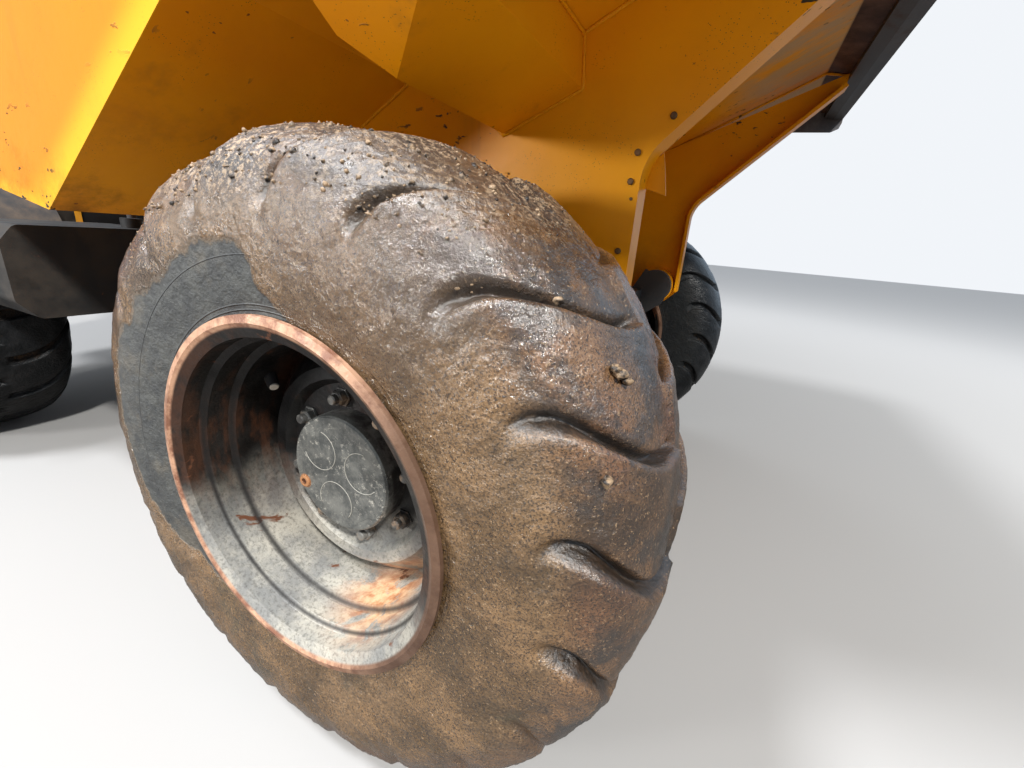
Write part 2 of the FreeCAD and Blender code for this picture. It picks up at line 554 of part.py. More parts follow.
# Platform: floor, toe board, grab hoops and rear deck
floor = flat_plate([(-292, -615), (-292, 615), (-595, 615), (-595, HALF_DECK), (-1180, HALF_DECK),
                    (-1180, -HALF_DECK), (-595, -HALF_DECK), (-595, -615)], FLOOR_Z, FLOOR_Z + SHEET)
deck_parts = [floor, box(-298, -292, -600, 600, FLOOR_Z + SHEET, FLOOR_Z + 130)]
deck = box(-2065, -1174, -HALF_DECK, HALF_DECK, DECK_Z, DECK_Z + SHEET)
deck = deck.cut(box(-1905, -1310, -INSIDE + 10, INSIDE - 10, DECK_Z - 5, DECK_Z + 20))
deck_parts.append(deck)
deck_parts.append(box(-1180, -1174, -HALF_DECK, HALF_DECK, FLOOR_Z + SHEET, DECK_Z))
for side in (1, -1):
    hoop = bent_tube([(-480, side * 585, FLOOR_Z + SHEET), (-480, side * 585, FLOOR_Z + 600),
                      (-480, side * 300, FLOOR_Z + 600), (-480, side * 300, FLOOR_Z + SHEET)], 70, 17)
    deck_parts.append(hoop)
save("platform", fuse(deck_parts))


def sector(r0, r1, a0, a1, y0, y1):
    """Part of a ring about the rear axle, between two radii, two angles and two y."""
    def at(radius, degrees):
        a = math.radians(degrees)
        return vec(REAR_AXLE_X + radius * math.cos(a), y0, AXLE_Z + radius * math.sin(a))
    mid = (a0 + a1) / 2.0
    edges = [Part.Arc(at(r1, a0), at(r1, mid), at(r1, a1)).toShape(),
             Part.LineSegment(at(r1, a1), at(r0, a1)).toShape(),
             Part.Arc(at(r0, a1), at(r0, mid), at(r0, a0)).toShape(),
             Part.LineSegment(at(r0, a0), at(r1, a0)).toShape()]
    return Part.Face(Part.Wire(edges)).extrude(vec(0, y1 - y0, 0))


# Mudguards: curved cover, outer lip and inner cheek
GUARD_R = TYRE_R + 65
guard = sector(GUARD_R, GUARD_R + 6, 18, 158, HALF_DECK + 6, WHEEL_Y + HALF_TYRE - 18)
guard = guard.fuse(sector(GUARD_R - 24, GUARD_R + 6, 18, 158, WHEEL_Y + HALF_TYRE - 18, WHEEL_Y + HALF_TYRE - 12))
guard = guard.fuse(sector(380, GUARD_R + 6, 18, 158, HALF_DECK, HALF_DECK + 6)).removeSplitter()
save("mudguards", Part.makeCompound(both(guard)))

# Counterweight: chamfered casting with a towing jaw, tie-down holes and bonnet hinge brackets
DECK_TOP = DECK_Z + SHEET
weight = cross_plate([(-470, 500), (470, 500), (560, 610), (560, DECK_TOP - 40), (520, DECK_TOP), (-520, DECK_TOP),
                      (-560, DECK_TOP - 40), (-560, 610)], -2137, -2065)
weight = weight.cut(side_plate([(-2150, 480), (-2100, 480), (-2150, 580)], -600, 600))
weight = weight.cut(box(-2140, -2060, -80, 80, 560, 640))
for z0, z1 in ((540, 560), (640, 660)):
    weight = weight.fuse(box(-2145, -2090, -62, 62, z0, z1))
weight = weight.fuse(pin_z(-2118, 0, 14, 530, 680))
weight = weight.fuse(pin_z(-2118, 0, 24, 660, 668))
for side in (1, -1):
    weight = weight.cut(bar((-2200, side * 430, AXLE_Z + 10), (-2000, side * 430, AXLE_Z + 10), 25))
HINGE = (-2100.0, DECK_Z + 30)
for side in (1, -1):
    lo, hi = sorted((side * 276, side * 342))
    weight = weight.fuse(pin_y(HINGE[0], HINGE[1], 8, lo, hi))
    lo, hi = sorted((side * 276, side * 295))
    weight = weight.fuse(box(HINGE[0] - 15, HINGE[0] + 15, lo, hi, DECK_TOP, HINGE[1] + 12))
save("counterweight", weight.removeSplitter())

# Driver's seat: pedestal, cushion and back
SEAT_Z = FLOOR_Z + 380
pedestal = side_plate([(-1130, FLOOR_Z + SHEET), (-1130, SEAT_Z), (-820, SEAT_Z), (-800, FLOOR_Z + SHEET)], -230, 230)
pedestal = pedestal.cut(box(-1100, -840, -240, -180, FLOOR_Z + 60, SEAT_Z - 80))
save("seat_box", pedestal)
cushion = side_plate([(-1120, SEAT_Z), (-1120, SEAT_Z + 85), (-860, SEAT_Z + 105), (-800, SEAT_Z + 120),
                      (-775, SEAT_Z + 90), (-790, SEAT_Z + 20), (-830, SEAT_Z)], -245, 245)
cushion = rounded(cushion, 22, lambda a, b: abs(abs(a.y) - 245) < 1 and abs(abs(b.y) - 245) < 1
                  and a.y * b.y > 0 and min(a.z, b.z) > SEAT_Z + 30)
back = side_plate([(-1070, SEAT_Z + 95), (-1120, SEAT_Z + 460), (-1160, SEAT_Z + 480), (-1175, SEAT_Z + 460),
                   (-1150, SEAT_Z + 60), (-1121, SEAT_Z + 60), (-1121, SEAT_Z + 82)], -235, 235)
back = rounded(back, 18, lambda a, b: a.y * b.y > 0 and min(a.z, b.z) > SEAT_Z + 70 and abs(a.z - b.z) > 200)
save("seat_cushion", cushion.fuse(back).removeSplitter())

# Console with pedals, levers, column and steering wheel
console = side_plate([(-299, FLOOR_Z + SHEET), (-299, FLOOR_Z + 430), (-370, FLOOR_Z + 520), (-425, FLOOR_Z + 500),
                      (-410, FLOOR_Z + 380), (-440, FLOOR_Z + SHEET)], -200, 200)
console = rounded(console, 20, lambda a, b: a.y * b.y > 0 and min(a.z, b.z) > FLOOR_Z + 350)
controls = [console]
for y in (-150, 90):
    controls.append(side_plate([(-420, FLOOR_Z + 100), (-520, FLOOR_Z + 50), (-526, FLOOR_Z + 58),
                                (-420, FLOOR_Z + 118)], y, y + 60))
for y in (150, 178):
    controls.append(bar((-385, y, FLOOR_Z + 450), (-420, y + 6, FLOOR_Z + 640), 7))
    controls.append(Part.makeSphere(19, vec(-420, y + 6, FLOOR_Z + 645)))
WHEEL_HUB = (-600.0, FLOOR_Z + 690)
lean = vec(WHEEL_HUB[0] + 380, 0, WHEEL_HUB[1] - FLOOR_Z - 390).normalize()
controls.append(bar((-380, 0, FLOOR_Z + 390), (WHEEL_HUB[0], 0, WHEEL_HUB[1]), 24))
save("console", fuse(controls))
hub_top = vec(WHEEL_HUB[0], 0, WHEEL_HUB[1]) + lean * 14
wheel_parts = [Part.makeTorus(190, 15, hub_top, lean), Part.makeCylinder(44, 40, hub_top - lean * 14, lean)]
for turn in (90, 210, 330):
    arm = bar((0, 0, 0), (182, 0, 0), 10)
    arm.rotate(vec(0, 0, 0), vec(0, 0, 1), turn)
    arm.Placement = FreeCAD.Placement(hub_top, FreeCAD.Rotation(vec(0, 0, 1), lean)).multiply(arm.Placement)
    wheel_parts.append(arm)
save("steering_wheel", fuse(wheel_parts))

# Roll bar: bent square tube on base plates, with rear braces, lamps and beacon
TUBE = 40.0
BAR_X = -1230.0
BEND = 130.0
s45 = BEND * (1 - math.sqrt(0.5))
path = Part.Wire([
    Part.LineSegment(vec(BAR_X, -ROLL_BAR_Y, DECK_TOP + 15), vec(BAR_X, -ROLL_BAR_Y, ROLL_BAR_Z - BEND)).toShape(),
    Part.Arc(vec(BAR_X, -ROLL_BAR_Y, ROLL_BAR_Z - BEND), vec(BAR_X, -ROLL_BAR_Y + s45, ROLL_BAR_Z - s45),
             vec(BAR_X, -ROLL_BAR_Y + BEND, ROLL_BAR_Z)).toShape(),
    Part.LineSegment(vec(BAR_X, -ROLL_BAR_Y + BEND, ROLL_BAR_Z), vec(BAR_X, ROLL_BAR_Y - BEND, ROLL_BAR_Z)).toShape(),
    Part.Arc(vec(BAR_X, ROLL_BAR_Y - BEND, ROLL_BAR_Z), vec(BAR_X, ROLL_BAR_Y - s45, ROLL_BAR_Z - s45),
             vec(BAR_X, ROLL_BAR_Y, ROLL_BAR_Z - BEND)).toShape(),
    Part.LineSegment(vec(BAR_X, ROLL_BAR_Y, ROLL_BAR_Z - BEND), vec(BAR_X, ROLL_BAR_Y, DECK_TOP + 15)).toShape()])
square = Part.makePolygon([vec(BAR_X + a, -ROLL_BAR_Y + b, DECK_TOP + 15) for a, b in
                           ((-TUBE, -TUBE), (TUBE, -TUBE), (TUBE, TUBE), (-TUBE, TUBE), (-TUBE, -TUBE))])
roll = [path.makePipeShell([square], True, False)]
for side in (1, -1):
    lo, hi = sorted((side * (ROLL_BAR_Y - 80), side * (ROLL_BAR_Y + 80)))
    roll.append(box(BAR_X - 80, BAR_X + 80, lo, hi, DECK_TOP, DECK_TOP + 15))
    roll.append(box(-1790, -1670, side * ROLL_BAR_Y - 50, side * ROLL_BAR_Y + 50, DECK_TOP, DECK_TOP + 12))
    roll.append(bar((BAR_X - 20, side * ROLL_BAR_Y, 1760), (-1730, side * ROLL_BAR_Y, DECK_TOP + 6), 24)
                .cut(box(-1900, -1100, -700, 700, DECK_Z - 200, DECK_TOP)))
save("roll_bar", fuse(roll))
lamps = []
for side in (1, -1):
    y = side * (ROLL_BAR_Y - 190)
    face = BAR_X + TUBE
    lamp = fuse([box(face, face + 12, y - 25, y + 25, ROLL_BAR_Z - 150, ROLL_BAR_Z + 20),
                 bar((face + 12, y, ROLL_BAR_Z - 95), (face + 50, y, ROLL_BAR_Z - 95), 45),
                 bar((face + 50, y, ROLL_BAR_Z - 95), (face + 78, y, ROLL_BAR_Z - 95), 62)])
    lamps.append(lamp)
save("work_lamps", Part.makeCompound(lamps))
beacon_z = ROLL_BAR_Z + TUBE
dome = pin_z(BAR_X, 0, 44, beacon_z + 22, beacon_z + 96)
save("beacon", fuse([pin_z(BAR_X, 0, 56, beacon_z, beacon_z + 22), dome,
                     Part.makeSphere(44, vec(BAR_X, 0, beacon_z + 96))]))
tails = []
for side in (1, -1):
    lo, hi = sorted((side * 400, side * 520))
    tails.append(box(-2145, -2137, lo, hi, 770, 840))
save("rear_lamps", Part.makeCompound(tails))
pipe = bent_tube([(-1930, -500, DECK_TOP), (-1930, -500, 1740), (-2010, -500, 1850)], 90, 34)
save("exhaust", fuse([pipe, pin_z(-1930, -500, 58, 1010, 1480), pin_z(-1930, -500, 48, DECK_TOP, DECK_TOP + 12)]))

# Bonnet: rounded cover, open below, with side louvres and a grille at the rear
BONNET_TOP = DECK_Z + 550
HOOD = [(-1300, DECK_Z + 13), (-1300, BONNET_TOP), (-1800, BONNET_TOP - 25), (-2050, BONNET_TOP - 105),
        (-2085, DECK_Z + 60), (-2060, DECK_Z + 13)]


def hood_solid(gap):
    lower = DECK_Z + 13 - 2 * gap
    points = [(HOOD[0][0] - gap, lower), (HOOD[1][0] - gap, HOOD[1][1] - gap), (HOOD[2][0], HOOD[2][1] - gap),
              (HOOD[3][0] + gap * 0.8, HOOD[3][1] - gap), (HOOD[4][0] + gap, HOOD[4][1]), (HOOD[5][0] + gap, lower)]
    solid = side_plate(points, -HALF_BONNET + gap, HALF_BONNET - gap)
    return rounded(solid, 46 - gap, lambda a, b: a.y * b.y > 0 and min(a.z, b.z) > BONNET_TOP - 125)


hood = hood_solid(0.0).cut(hood_solid(4.0))
hood = hood.cut(box(-2100, -2030, -300, 300, 1000, 1290))
slots = []
for column in (-1860, -1700):
    for row in range(6):
        z = 1030 + row * 36
        slots += both(box(column, column + 130, HALF_BONNET - 10, HALF_BONNET + 10, z, z + 14))
hood = hood.cut(slots)
knuckles = []
for y0, y1 in ((300, 340), (-340, -300)):
    knuckle = side_plate([(-2062, DECK_Z + 18), (-2100, DECK_Z + 14), (-2100, DECK_Z + 46), (-2080, DECK_Z + 53)], y0, y1)
    knuckles.append(knuckle.fuse(pin_y(HINGE[0], HINGE[1], 16, y0, y1)).cut(hood_solid(4.0)))
hood = fuse([hood] + knuckles).cut(pin_y(HINGE[0], HINGE[1], 8 + RUNNING, -400, 400))
save("bonnet", hood)
slats = []
for y0, y1 in ((-300, -286), (286, 300), (-7, 7)):
    slats.append(side_plate([(-2086, 1000), (-2074, 1000), (-2048, 1290), (-2060, 1290)], y0, y1))
for row in range(7):
    x = -2084 + row * 3.7
    z = 1008 + row * 41
    slats.append(side_plate([(x, z), (x + 4, z), (x + 13, z + 24), (x + 9, z + 24)], -300, 300))
save("grille", fuse(slats))
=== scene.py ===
# %% [markdown]
# # A muddy site dumper, seen from beside its front wheel
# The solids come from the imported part, already in metres and in one shared frame: x forward, y to the
# driver's left, z up. This script gives them their finishes, and adds what is too fine for solids:
# rubber with its tread and mud, bolt heads, weld beads, seat covers, lamp lenses and the like.

# %% Load the frame and keep the box of the solids
import bmesh
import bpy
import numpy as np
from mathutils import Matrix, Vector


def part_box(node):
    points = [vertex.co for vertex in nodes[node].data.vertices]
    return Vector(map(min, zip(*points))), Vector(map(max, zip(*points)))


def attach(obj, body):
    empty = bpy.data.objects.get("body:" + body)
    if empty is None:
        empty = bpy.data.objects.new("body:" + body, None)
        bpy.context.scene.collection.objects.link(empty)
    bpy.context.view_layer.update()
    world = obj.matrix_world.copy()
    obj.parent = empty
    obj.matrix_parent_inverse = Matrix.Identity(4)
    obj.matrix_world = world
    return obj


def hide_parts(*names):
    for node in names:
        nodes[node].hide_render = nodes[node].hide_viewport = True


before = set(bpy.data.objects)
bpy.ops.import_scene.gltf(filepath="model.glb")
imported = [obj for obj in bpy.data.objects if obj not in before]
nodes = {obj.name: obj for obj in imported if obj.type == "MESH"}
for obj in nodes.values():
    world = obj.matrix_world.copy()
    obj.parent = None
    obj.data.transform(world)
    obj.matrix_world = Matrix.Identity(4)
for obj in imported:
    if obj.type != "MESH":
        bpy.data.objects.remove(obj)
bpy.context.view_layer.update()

# %% [markdown]
# ## Camera
# The picture was taken with a very wide lens, low beside the front right wheel. Its place, aim and
# focal length were worked out from the round rim, the tyre's outline, the far wheel and the level of the
# wheel centres, so they are real sizes and not guesses: a camera 1.65 m off the centre plane.

# %% Put the camera where the picture was taken
CAMERA_AT = Vector((1.828, -1.653, 1.039))
CAMERA_FORWARD = Vector((-0.395, 0.861, -0.320))
CAMERA_RIGHT = Vector((0.894, 0.440, 0.079))
FOCAL_SHARE = 439.46 / 1024

forward = CAMERA_FORWARD.normalized()
right = (CAMERA_RIGHT - forward * CAMERA_RIGHT.dot(forward)).normalized()
up = right.cross(forward)
camera = bpy.data.objects.new("camera", bpy.data.cameras.new("camera"))
bpy.context.scene.collection.objects.link(camera)
camera.data.sensor_fit = "HORIZONTAL"
camera.data.sensor_width = 36.0
camera.data.lens = FOCAL_SHARE * camera.data.sensor_width
camera.data.clip_start = 0.02
camera.matrix_world = Matrix.Translation(CAMERA_AT) @ Matrix((right, up, -forward)).transposed().to_4x4()
bpy.context.scene.camera = camera
print("lens", round(camera.data.lens, 2), "mm")

# %% [markdown]
# ## Helpers for finishes
# Each finish is a small graph of nodes. The same few steps come back in all of them: a noise in object
# space, a threshold that turns it into a mask, a mix of two colours, and a bump. Short helpers keep the
# graphs readable, and every number is still an ordinary socket value that can be changed by hand.


# %% Add one node
def add_node(tree, kind, inputs=None, **settings):
    """New node: settings are its own properties, inputs maps its sockets to numbers or to other outputs."""
    node = tree.nodes.new("ShaderNode" + kind)
    for key, value in settings.items():
        setattr(node, key, value)
    for socket, value in (inputs or {}).items():
        if isinstance(value, bpy.types.NodeSocket):
            tree.links.new(value, node.inputs[socket])
        elif value is not None:
            node.inputs[socket].default_value = value
    return node


# %% The steps that all finishes share
class Finish:
    """A material under construction, with its shader and object coordinates at hand."""

    def __init__(self, name, **sockets):
        self.material = bpy.data.materials.new(name)
        self.material.use_nodes = True
        self.tree = self.material.node_tree
        self.shader = self.tree.nodes["Principled BSDF"]
        spot = self.add("TexCoord")
        self.place = spot.outputs["Object"]
        self.normal = spot.outputs["Normal"]
        for socket, value in sockets.items():
            self.shader.inputs[socket.replace("_", " ")].default_value = value

    def add(self, kind, inputs=None, **settings):
        return add_node(self.tree, kind, inputs, **settings)

    def noise(self, scale, detail=4.0, rough=0.6, stretch=None, warp=0.0):
        """Fractal noise between 0 and 1; stretch scales the three axes."""
        place = self.place
        if stretch:
            place = self.add("Mapping", {"Vector": place, "Scale": stretch}).outputs["Vector"]
        inputs = {"Vector": place, "Scale": scale, "Detail": detail, "Roughness": rough, "Distortion": warp}
        return self.add("TexNoise", inputs).outputs["Fac"]

    def cells(self, scale):
        """Distance to the nearest of many scattered points."""
        return self.add("TexVoronoi", {"Vector": self.place, "Scale": scale}).outputs["Distance"]

    def attribute(self, name):
        """Number that each point of the mesh carries."""
        return self.add("Attribute", attribute_name=name).outputs["Fac"]

    def axis(self, letter):
        """One coordinate of the place."""
        return self.add("SeparateXYZ", {"Vector": self.place}).outputs[letter]

    def facing(self, letter):
        """Component of the surface normal along an axis of the object."""
        return self.add("SeparateXYZ", {"Vector": self.normal}).outputs[letter]

    def vector(self, operation, a, b, result):
        return self.add("VectorMath", {0: a, 1: b}, operation=operation).outputs[result]

    def maths(self, operation, a, b, clamp=True):
        return self.add("Math", {0: a, 1: b}, operation=operation, use_clamp=clamp).outputs["Value"]

    def times(self, product, *factors):
        """Product of masks and numbers, kept between 0 and 1."""
        for factor in factors:
            product = self.maths("MULTIPLY", product, factor)
        return product

    def along(self, direction):
        """Distance along a direction from the origin."""
        return self.vector("DOT_PRODUCT", self.place, direction, "Value")

    def near(self, point, inner, outer):
        """1 within the inner distance of a point, 0 beyond the outer one."""
        return self.span(self.vector("DISTANCE", self.place, point, "Value"), inner, outer, 1.0, 0.0)

    def from_axis(self, centre):
        """Radius about the line through centre along y."""
        shift = self.vector("SUBTRACT", self.place, centre, "Vector")
        flat = self.vector("MULTIPLY", shift, (1.0, 0.0, 1.0), "Vector")
        return self.vector("LENGTH", flat, None, "Value")

    def aside(self, centre):
        """Distance along y from centre, on either side of it."""
        return self.maths("ABSOLUTE", self.maths("SUBTRACT", self.axis("Y"), centre[1], False), 0.0, False)

    def span(self, value, low, high, to_low=0.0, to_high=1.0):
        """Smooth step: to_low below low, to_high above high."""
        inputs = {"Value": value, "From Min": low, "From Max": high, "To Min": to_low, "To Max": to_high}
        return self.add("MapRange", inputs, interpolation_type="SMOOTHSTEP").outputs["Result"]

    def patches(self, scale, detail, rough, low, high, weight=1.0, **more):
        """Mask of noise: 0 where the noise is below low, weight where it is above high."""
        return self.span(self.noise(scale, detail, rough, **more), low, high, 0.0, weight)

    def line(self, value, at, width):
        """1 where the value equals a number, 0 a width away from it on both sides."""
        return self.times(self.span(value, at - width, at), self.span(value, at, at + width, 1.0, 0.0))

    def mix(self, mask, below, above):
        """Colour below where the mask is 0 and above where it is 1."""
        below, above = (c + (1.0,) if isinstance(c, tuple) else c for c in (below, above))
        return self.add("Mix", {0: mask, 6: below, 7: above}, data_type="RGBA").outputs[2]

    def bump(self, height, depth, after=None, strength=1.0):
        """Bump of a depth in metres, on top of an earlier bump."""
        inputs = {"Strength": strength, "Distance": depth, "Height": height, "Normal": after}
        return self.add("Bump", inputs).outputs["Normal"]

    def done(self, colour, rough=None, normal=None):
        """Link what was worked out to the shader."""
        for socket, value in (("Base Color", colour), ("Roughness", rough), ("Normal", normal)):
            if value is not None:
                self.tree.links.new(value, self.shader.inputs[socket])
        print("finish", self.material.name, len(self.tree.nodes), "nodes")
        return self.material


# %% [markdown]
# ## Yellow paint
# Gloss paint on plate steel: nearly even, with a slight drift of tone, thousands of tiny dirt specks, a
# brown film low down that is partly soil and partly painted shade, and a few chips that show rust. Noise
# in object space has no seams where plates meet, which suits a welded body. The tub takes more layers: a
# deeper tone on its upright sides, a painted highlight along their folded edges, bare scraped steel where
# the load slides, pale patches of dust and painted sheen on the underside, and brown wear on the underside
# just behind the lip.

# %% Colours of paint, soil and rust
YELLOW = (0.84, 0.36, 0.005)
YELLOW_DEEP = (0.76, 0.27, 0.003)
SOIL = (0.085, 0.050, 0.026)
SOIL_PALE = (0.30, 0.21, 0.13)
RUST = (0.20, 0.062, 0.018)
OIL = (0.055, 0.042, 0.030)


# %% Layers that only the tub has
LOAD_CENTRE = (0.9, 0.0, 1.75)
FRONT_FOLD = (-0.525, 0.0, 0.851)
LOWER_FOLD = (0.162, 0.0, 0.987)


def tub_sides(f, tone):
    """Deeper tone on the upright sides, and a painted highlight along their folds, marked by distance along
    two directions.
    """
    fold_highlight = f.maths("MAXIMUM", f.span(f.along(FRONT_FOLD), 0.655, 0.735, 1.0, 0.0),
                   f.span(f.along(LOWER_FOLD), 1.062, 1.10, 0.8, 0.0))
    side = f.span(f.maths("ABSOLUTE", f.axis("Y"), 0.0, False), 1.147, 1.149)
    tone = f.mix(side, tone, f.mix(f.noise(1.6, 3.0), (0.58, 0.20, 0.002), (0.64, 0.235, 0.003)))
    # painted highlight: lighter yellow along the folded edges of the upright sides
    return f.mix(f.times(fold_highlight, side, 0.55), tone, (1.0, 0.56, 0.02))


def tub_wear(f, tone, rough):
    """Scraped steel on faces that look at the middle of the load; on the underside, pale patches of dust and
    painted sheen further back, and brown wear under the lip.
    """
    inward = f.vector("DOT_PRODUCT", f.vector("SUBTRACT", f.place, LOAD_CENTRE, "Vector"), f.normal, "Value")
    height = f.maths("ADD", f.axis("Z"), f.times(f.noise(5.0, 6.0, 0.7), 0.35), False)
    load_side = f.times(f.span(inward, -0.03, 0.0, 1.0, 0.0), f.span(height, 1.98, 2.06, 1.0, 0.0))
    steel = f.mix(f.patches(3.0, 6.0, 0.75, 0.38, 0.66, stretch=(1.0, 3.0, 1.0)), (0.17, 0.155, 0.14),
                  (0.19, 0.105, 0.06))
    steel = f.mix(f.patches(13.0, 5.0, 0.7, 0.52, 0.66), steel, SOIL_PALE)
    tone = f.mix(load_side, tone, steel)
    below = f.span(f.facing("Z"), -0.3, -0.1, 1.0, 0.0)
    # pale patches on the underside: partly dust, partly a painted sheen of reflected sky
    pale_dust_and_sheen = f.times(below, f.span(f.axis("X"), 1.62, 1.80),
                    f.patches(5.0, 5.0, 0.7, 0.38, 0.60, stretch=(0.5, 1.6, 1.0)), 0.85)
    tone = f.mix(pale_dust_and_sheen, tone, (0.46, 0.32, 0.18))
    lip_wear = f.times(below, f.span(f.axis("X"), 1.988, 1.998))
    worn = f.mix(f.patches(8.0, 5.0, 0.7, 0.35, 0.7), (0.055, 0.028, 0.020), (0.15, 0.080, 0.055))
    return f.mix(lip_wear, tone, worn), f.maths("MAXIMUM", rough, f.times(load_side, 0.55))


# %% Yellow paint with dirt, specks and chips
def yellow_paint(name, soil_and_shade_top, tub=False, painted_shade_front=False):
    """Paint whose soil film fades out over the half metre below the film's top height; the film is partly
    real soil and partly painted shade low down.
    """
    f = Finish(name, Specular_IOR_Level=0.16)
    tone = f.mix(f.patches(1.6, 3.0, 0.6, 0.3, 0.75), YELLOW, YELLOW_DEEP)
    if tub:
        tone = tub_sides(f, tone)
    # film darker towards the bottom: partly real soil, partly painted shade low down on the body
    soil_and_shade_film = f.times(f.span(f.axis("Z"), soil_and_shade_top - 0.5, soil_and_shade_top, 0.85, 0.05),
                   f.patches(4.0, 6.0, 0.7, 0.46, 0.72))
    streak = f.patches(9.0, 4.0, 0.6, 0.60, 0.78, 0.25, stretch=(1.0, 1.0, 0.12))
    fleck = f.times(f.span(f.cells(170.0), 0.17, 0.10), f.patches(7.0, 3.0, 0.6, 0.50, 0.62))
    blot = f.times(f.patches(48.0, 3.0, 0.6, 0.645, 0.68, stretch=(0.5, 1.0, 1.0)),
                   f.patches(2.9, 2.0, 0.6, 0.50, 0.60))
    chip = f.times(f.patches(60.0, 2.0, 0.6, 0.71, 0.74), f.patches(3.1, 2.0, 0.6, 0.52, 0.62))
    for mask, colour in ((soil_and_shade_film, SOIL), (streak, SOIL), (fleck, SOIL), (blot, OIL), (chip, RUST)):
        tone = f.mix(mask, tone, colour)
    cover = f.maths("MAXIMUM", soil_and_shade_film, blot)
    rough = f.span(f.maths("ADD", cover, f.times(f.noise(40.0), 0.25)), 0.0, 1.0, 0.34, 0.85)
    if tub:
        tone, rough = tub_wear(f, tone, rough)
    # painted shade: faces looking forward are made nearly black, for the shadow on the bonnet's front
    if painted_shade_front:
        tone = f.mix(f.span(f.facing("X"), 0.90, 0.95), tone, (0.016, 0.016, 0.017))
    normal = f.bump(f.noise(2.6, 2.0), 0.012, strength=0.25)
    normal = f.bump(f.noise(60.0, 2.0), 0.0005, normal, 0.4)
    return f.done(tone, rough, f.bump(cover, 0.0012, normal))


tub_paint = yellow_paint("tub_paint", 1.35, tub=True)
leg_paint = yellow_paint("leg_paint", 1.15)
body_paint = yellow_paint("body_paint", 1.25, painted_shade_front=True)

# %% [markdown]
# ## Black paint and castings
# Chassis, axles, tanks and deck are black under a film of dry dust that gathers on faces that look up.
# The facing of the surface gives that mask, and a coarse noise breaks it up.


# %% Dusty black paint in several strengths
def dark_paint(name, base, dust, rough_low=0.45, mud=0.5):
    """dust is how much settles on faces that look up, mud how much is sprayed on near the ground."""
    f = Finish(name)
    tone = f.mix(f.patches(3.0, 4.0, 0.6, 0.3, 0.7), base, tuple(c * 1.7 for c in base))
    settled = f.times(f.span(f.facing("Z"), 0.2, 0.9, 0.08, dust), f.patches(6.0, 6.0, 0.7, 0.35, 0.7))
    spray = f.times(f.patches(11.0, 6.0, 0.72, 0.50, 0.66), f.span(f.axis("Z"), 0.35, 1.0, mud, 0.0))
    rusty = f.patches(17.0, 5.0, 0.7, 0.66, 0.74, 0.7)
    for mask, colour in ((settled, SOIL_PALE), (spray, SOIL), (rusty, RUST)):
        tone = f.mix(mask, tone, colour)
    rough = f.span(f.noise(12.0), 0.2, 0.8, rough_low, 0.85)
    normal = f.bump(f.noise(70.0, 3.0), 0.0008, strength=0.6)
    return f.done(tone, rough, f.bump(spray, 0.002, normal))


chassis_paint = dark_paint("chassis_paint", (0.020, 0.020, 0.021), 0.4)
casting = dark_paint("casting", (0.035, 0.035, 0.036), 0.5, 0.55, 0.8)
# the tanks' black is darker and less dusty than the chassis: painted shade, where the tanks stand in shadow
tank_paint = dark_paint("tank_paint", (0.008, 0.008, 0.008), 0.08, 0.45, 0.15)
deck_paint = dark_paint("deck_paint", (0.026, 0.026, 0.028), 0.55, 0.6)
engine_paint = dark_paint("engine_paint", (0.10, 0.10, 0.105), 0.4, 0.5, 0.1)

# %% [markdown]
# ## Worn steel
# The lip has lost its paint and is dark and scratched; the ram rods are chromed; the exhaust is brown
# from heat. Scratches are noise squeezed hard along one axis.


# %% Bare, chromed and heat-stained steel
def worn_steel(name, base, stain, along, rough_low, rough_high, metal):
    """Scratches run along the axis whose number in along is the smallest."""
    f = Finish(name, Metallic=metal)
    scratch = f.noise(14.0, 5.0, 0.7, stretch=along)
    tone = f.mix(f.span(scratch, 0.35, 0.7), base, tuple(min(1.0, c * 1.9) for c in base))
    tone = f.mix(f.patches(5.0, 6.0, 0.7, 0.54, 0.70), tone, stain)
    return f.done(tone, f.span(scratch, 0.3, 0.7, rough_low, rough_high), f.bump(scratch, 0.0005))


lip_steel = worn_steel("lip_steel", (0.085, 0.083, 0.088), (0.10, 0.060, 0.040), (1.0, 0.1, 1.0), 0.4,
                       0.65, 0.5)
rod_chrome = worn_steel("rod_chrome", (0.5, 0.5, 0.51), (0.3, 0.27, 0.24), (0.2, 4.0, 4.0), 0.08, 0.2,
                        1.0)
pipe_steel = worn_steel("pipe_steel", (0.12, 0.085, 0.065), RUST, (1.0, 1.0, 0.4), 0.5, 0.8, 0.6)
bolt_steel = worn_steel("bolt_steel", (0.10, 0.055, 0.02), RUST, (1.0, 1.0, 1.0), 0.4, 0.7, 0.3)

# %% [markdown]
# ## Rim and hub
# The rim's outer flange is rubbed down to pink-brown rust. Its barrel is black paint, chalky along the
# side that stands lowest, with a patch of rust there. The hub cover is grey with a pale bloom, and the
# nuts are crusted with dried clay. Both finishes need the distance from the wheel's own axis, so each
# gets the centre of its wheel, and the rim also the way its lowest side points.


# %% Places round an axle
def heading(degrees):
    """Direction at an angle round an axle, 0 forward and 90 up; an array of angles gives rows."""
    a = np.radians(degrees)
    return np.stack([np.cos(a), 0 * a, np.sin(a)], -1)


def round_axle(centre, radius, degrees, out=0.0):
    """Point at a radius and an angle round the axle through centre, and a distance out along it."""
    return centre + radius * heading(degrees) + np.array([0.0, out, 0.0])


# %% Rusty rim
BARREL_CORNERS = ((0.1545, 0.0075), (0.2025, 0.006))


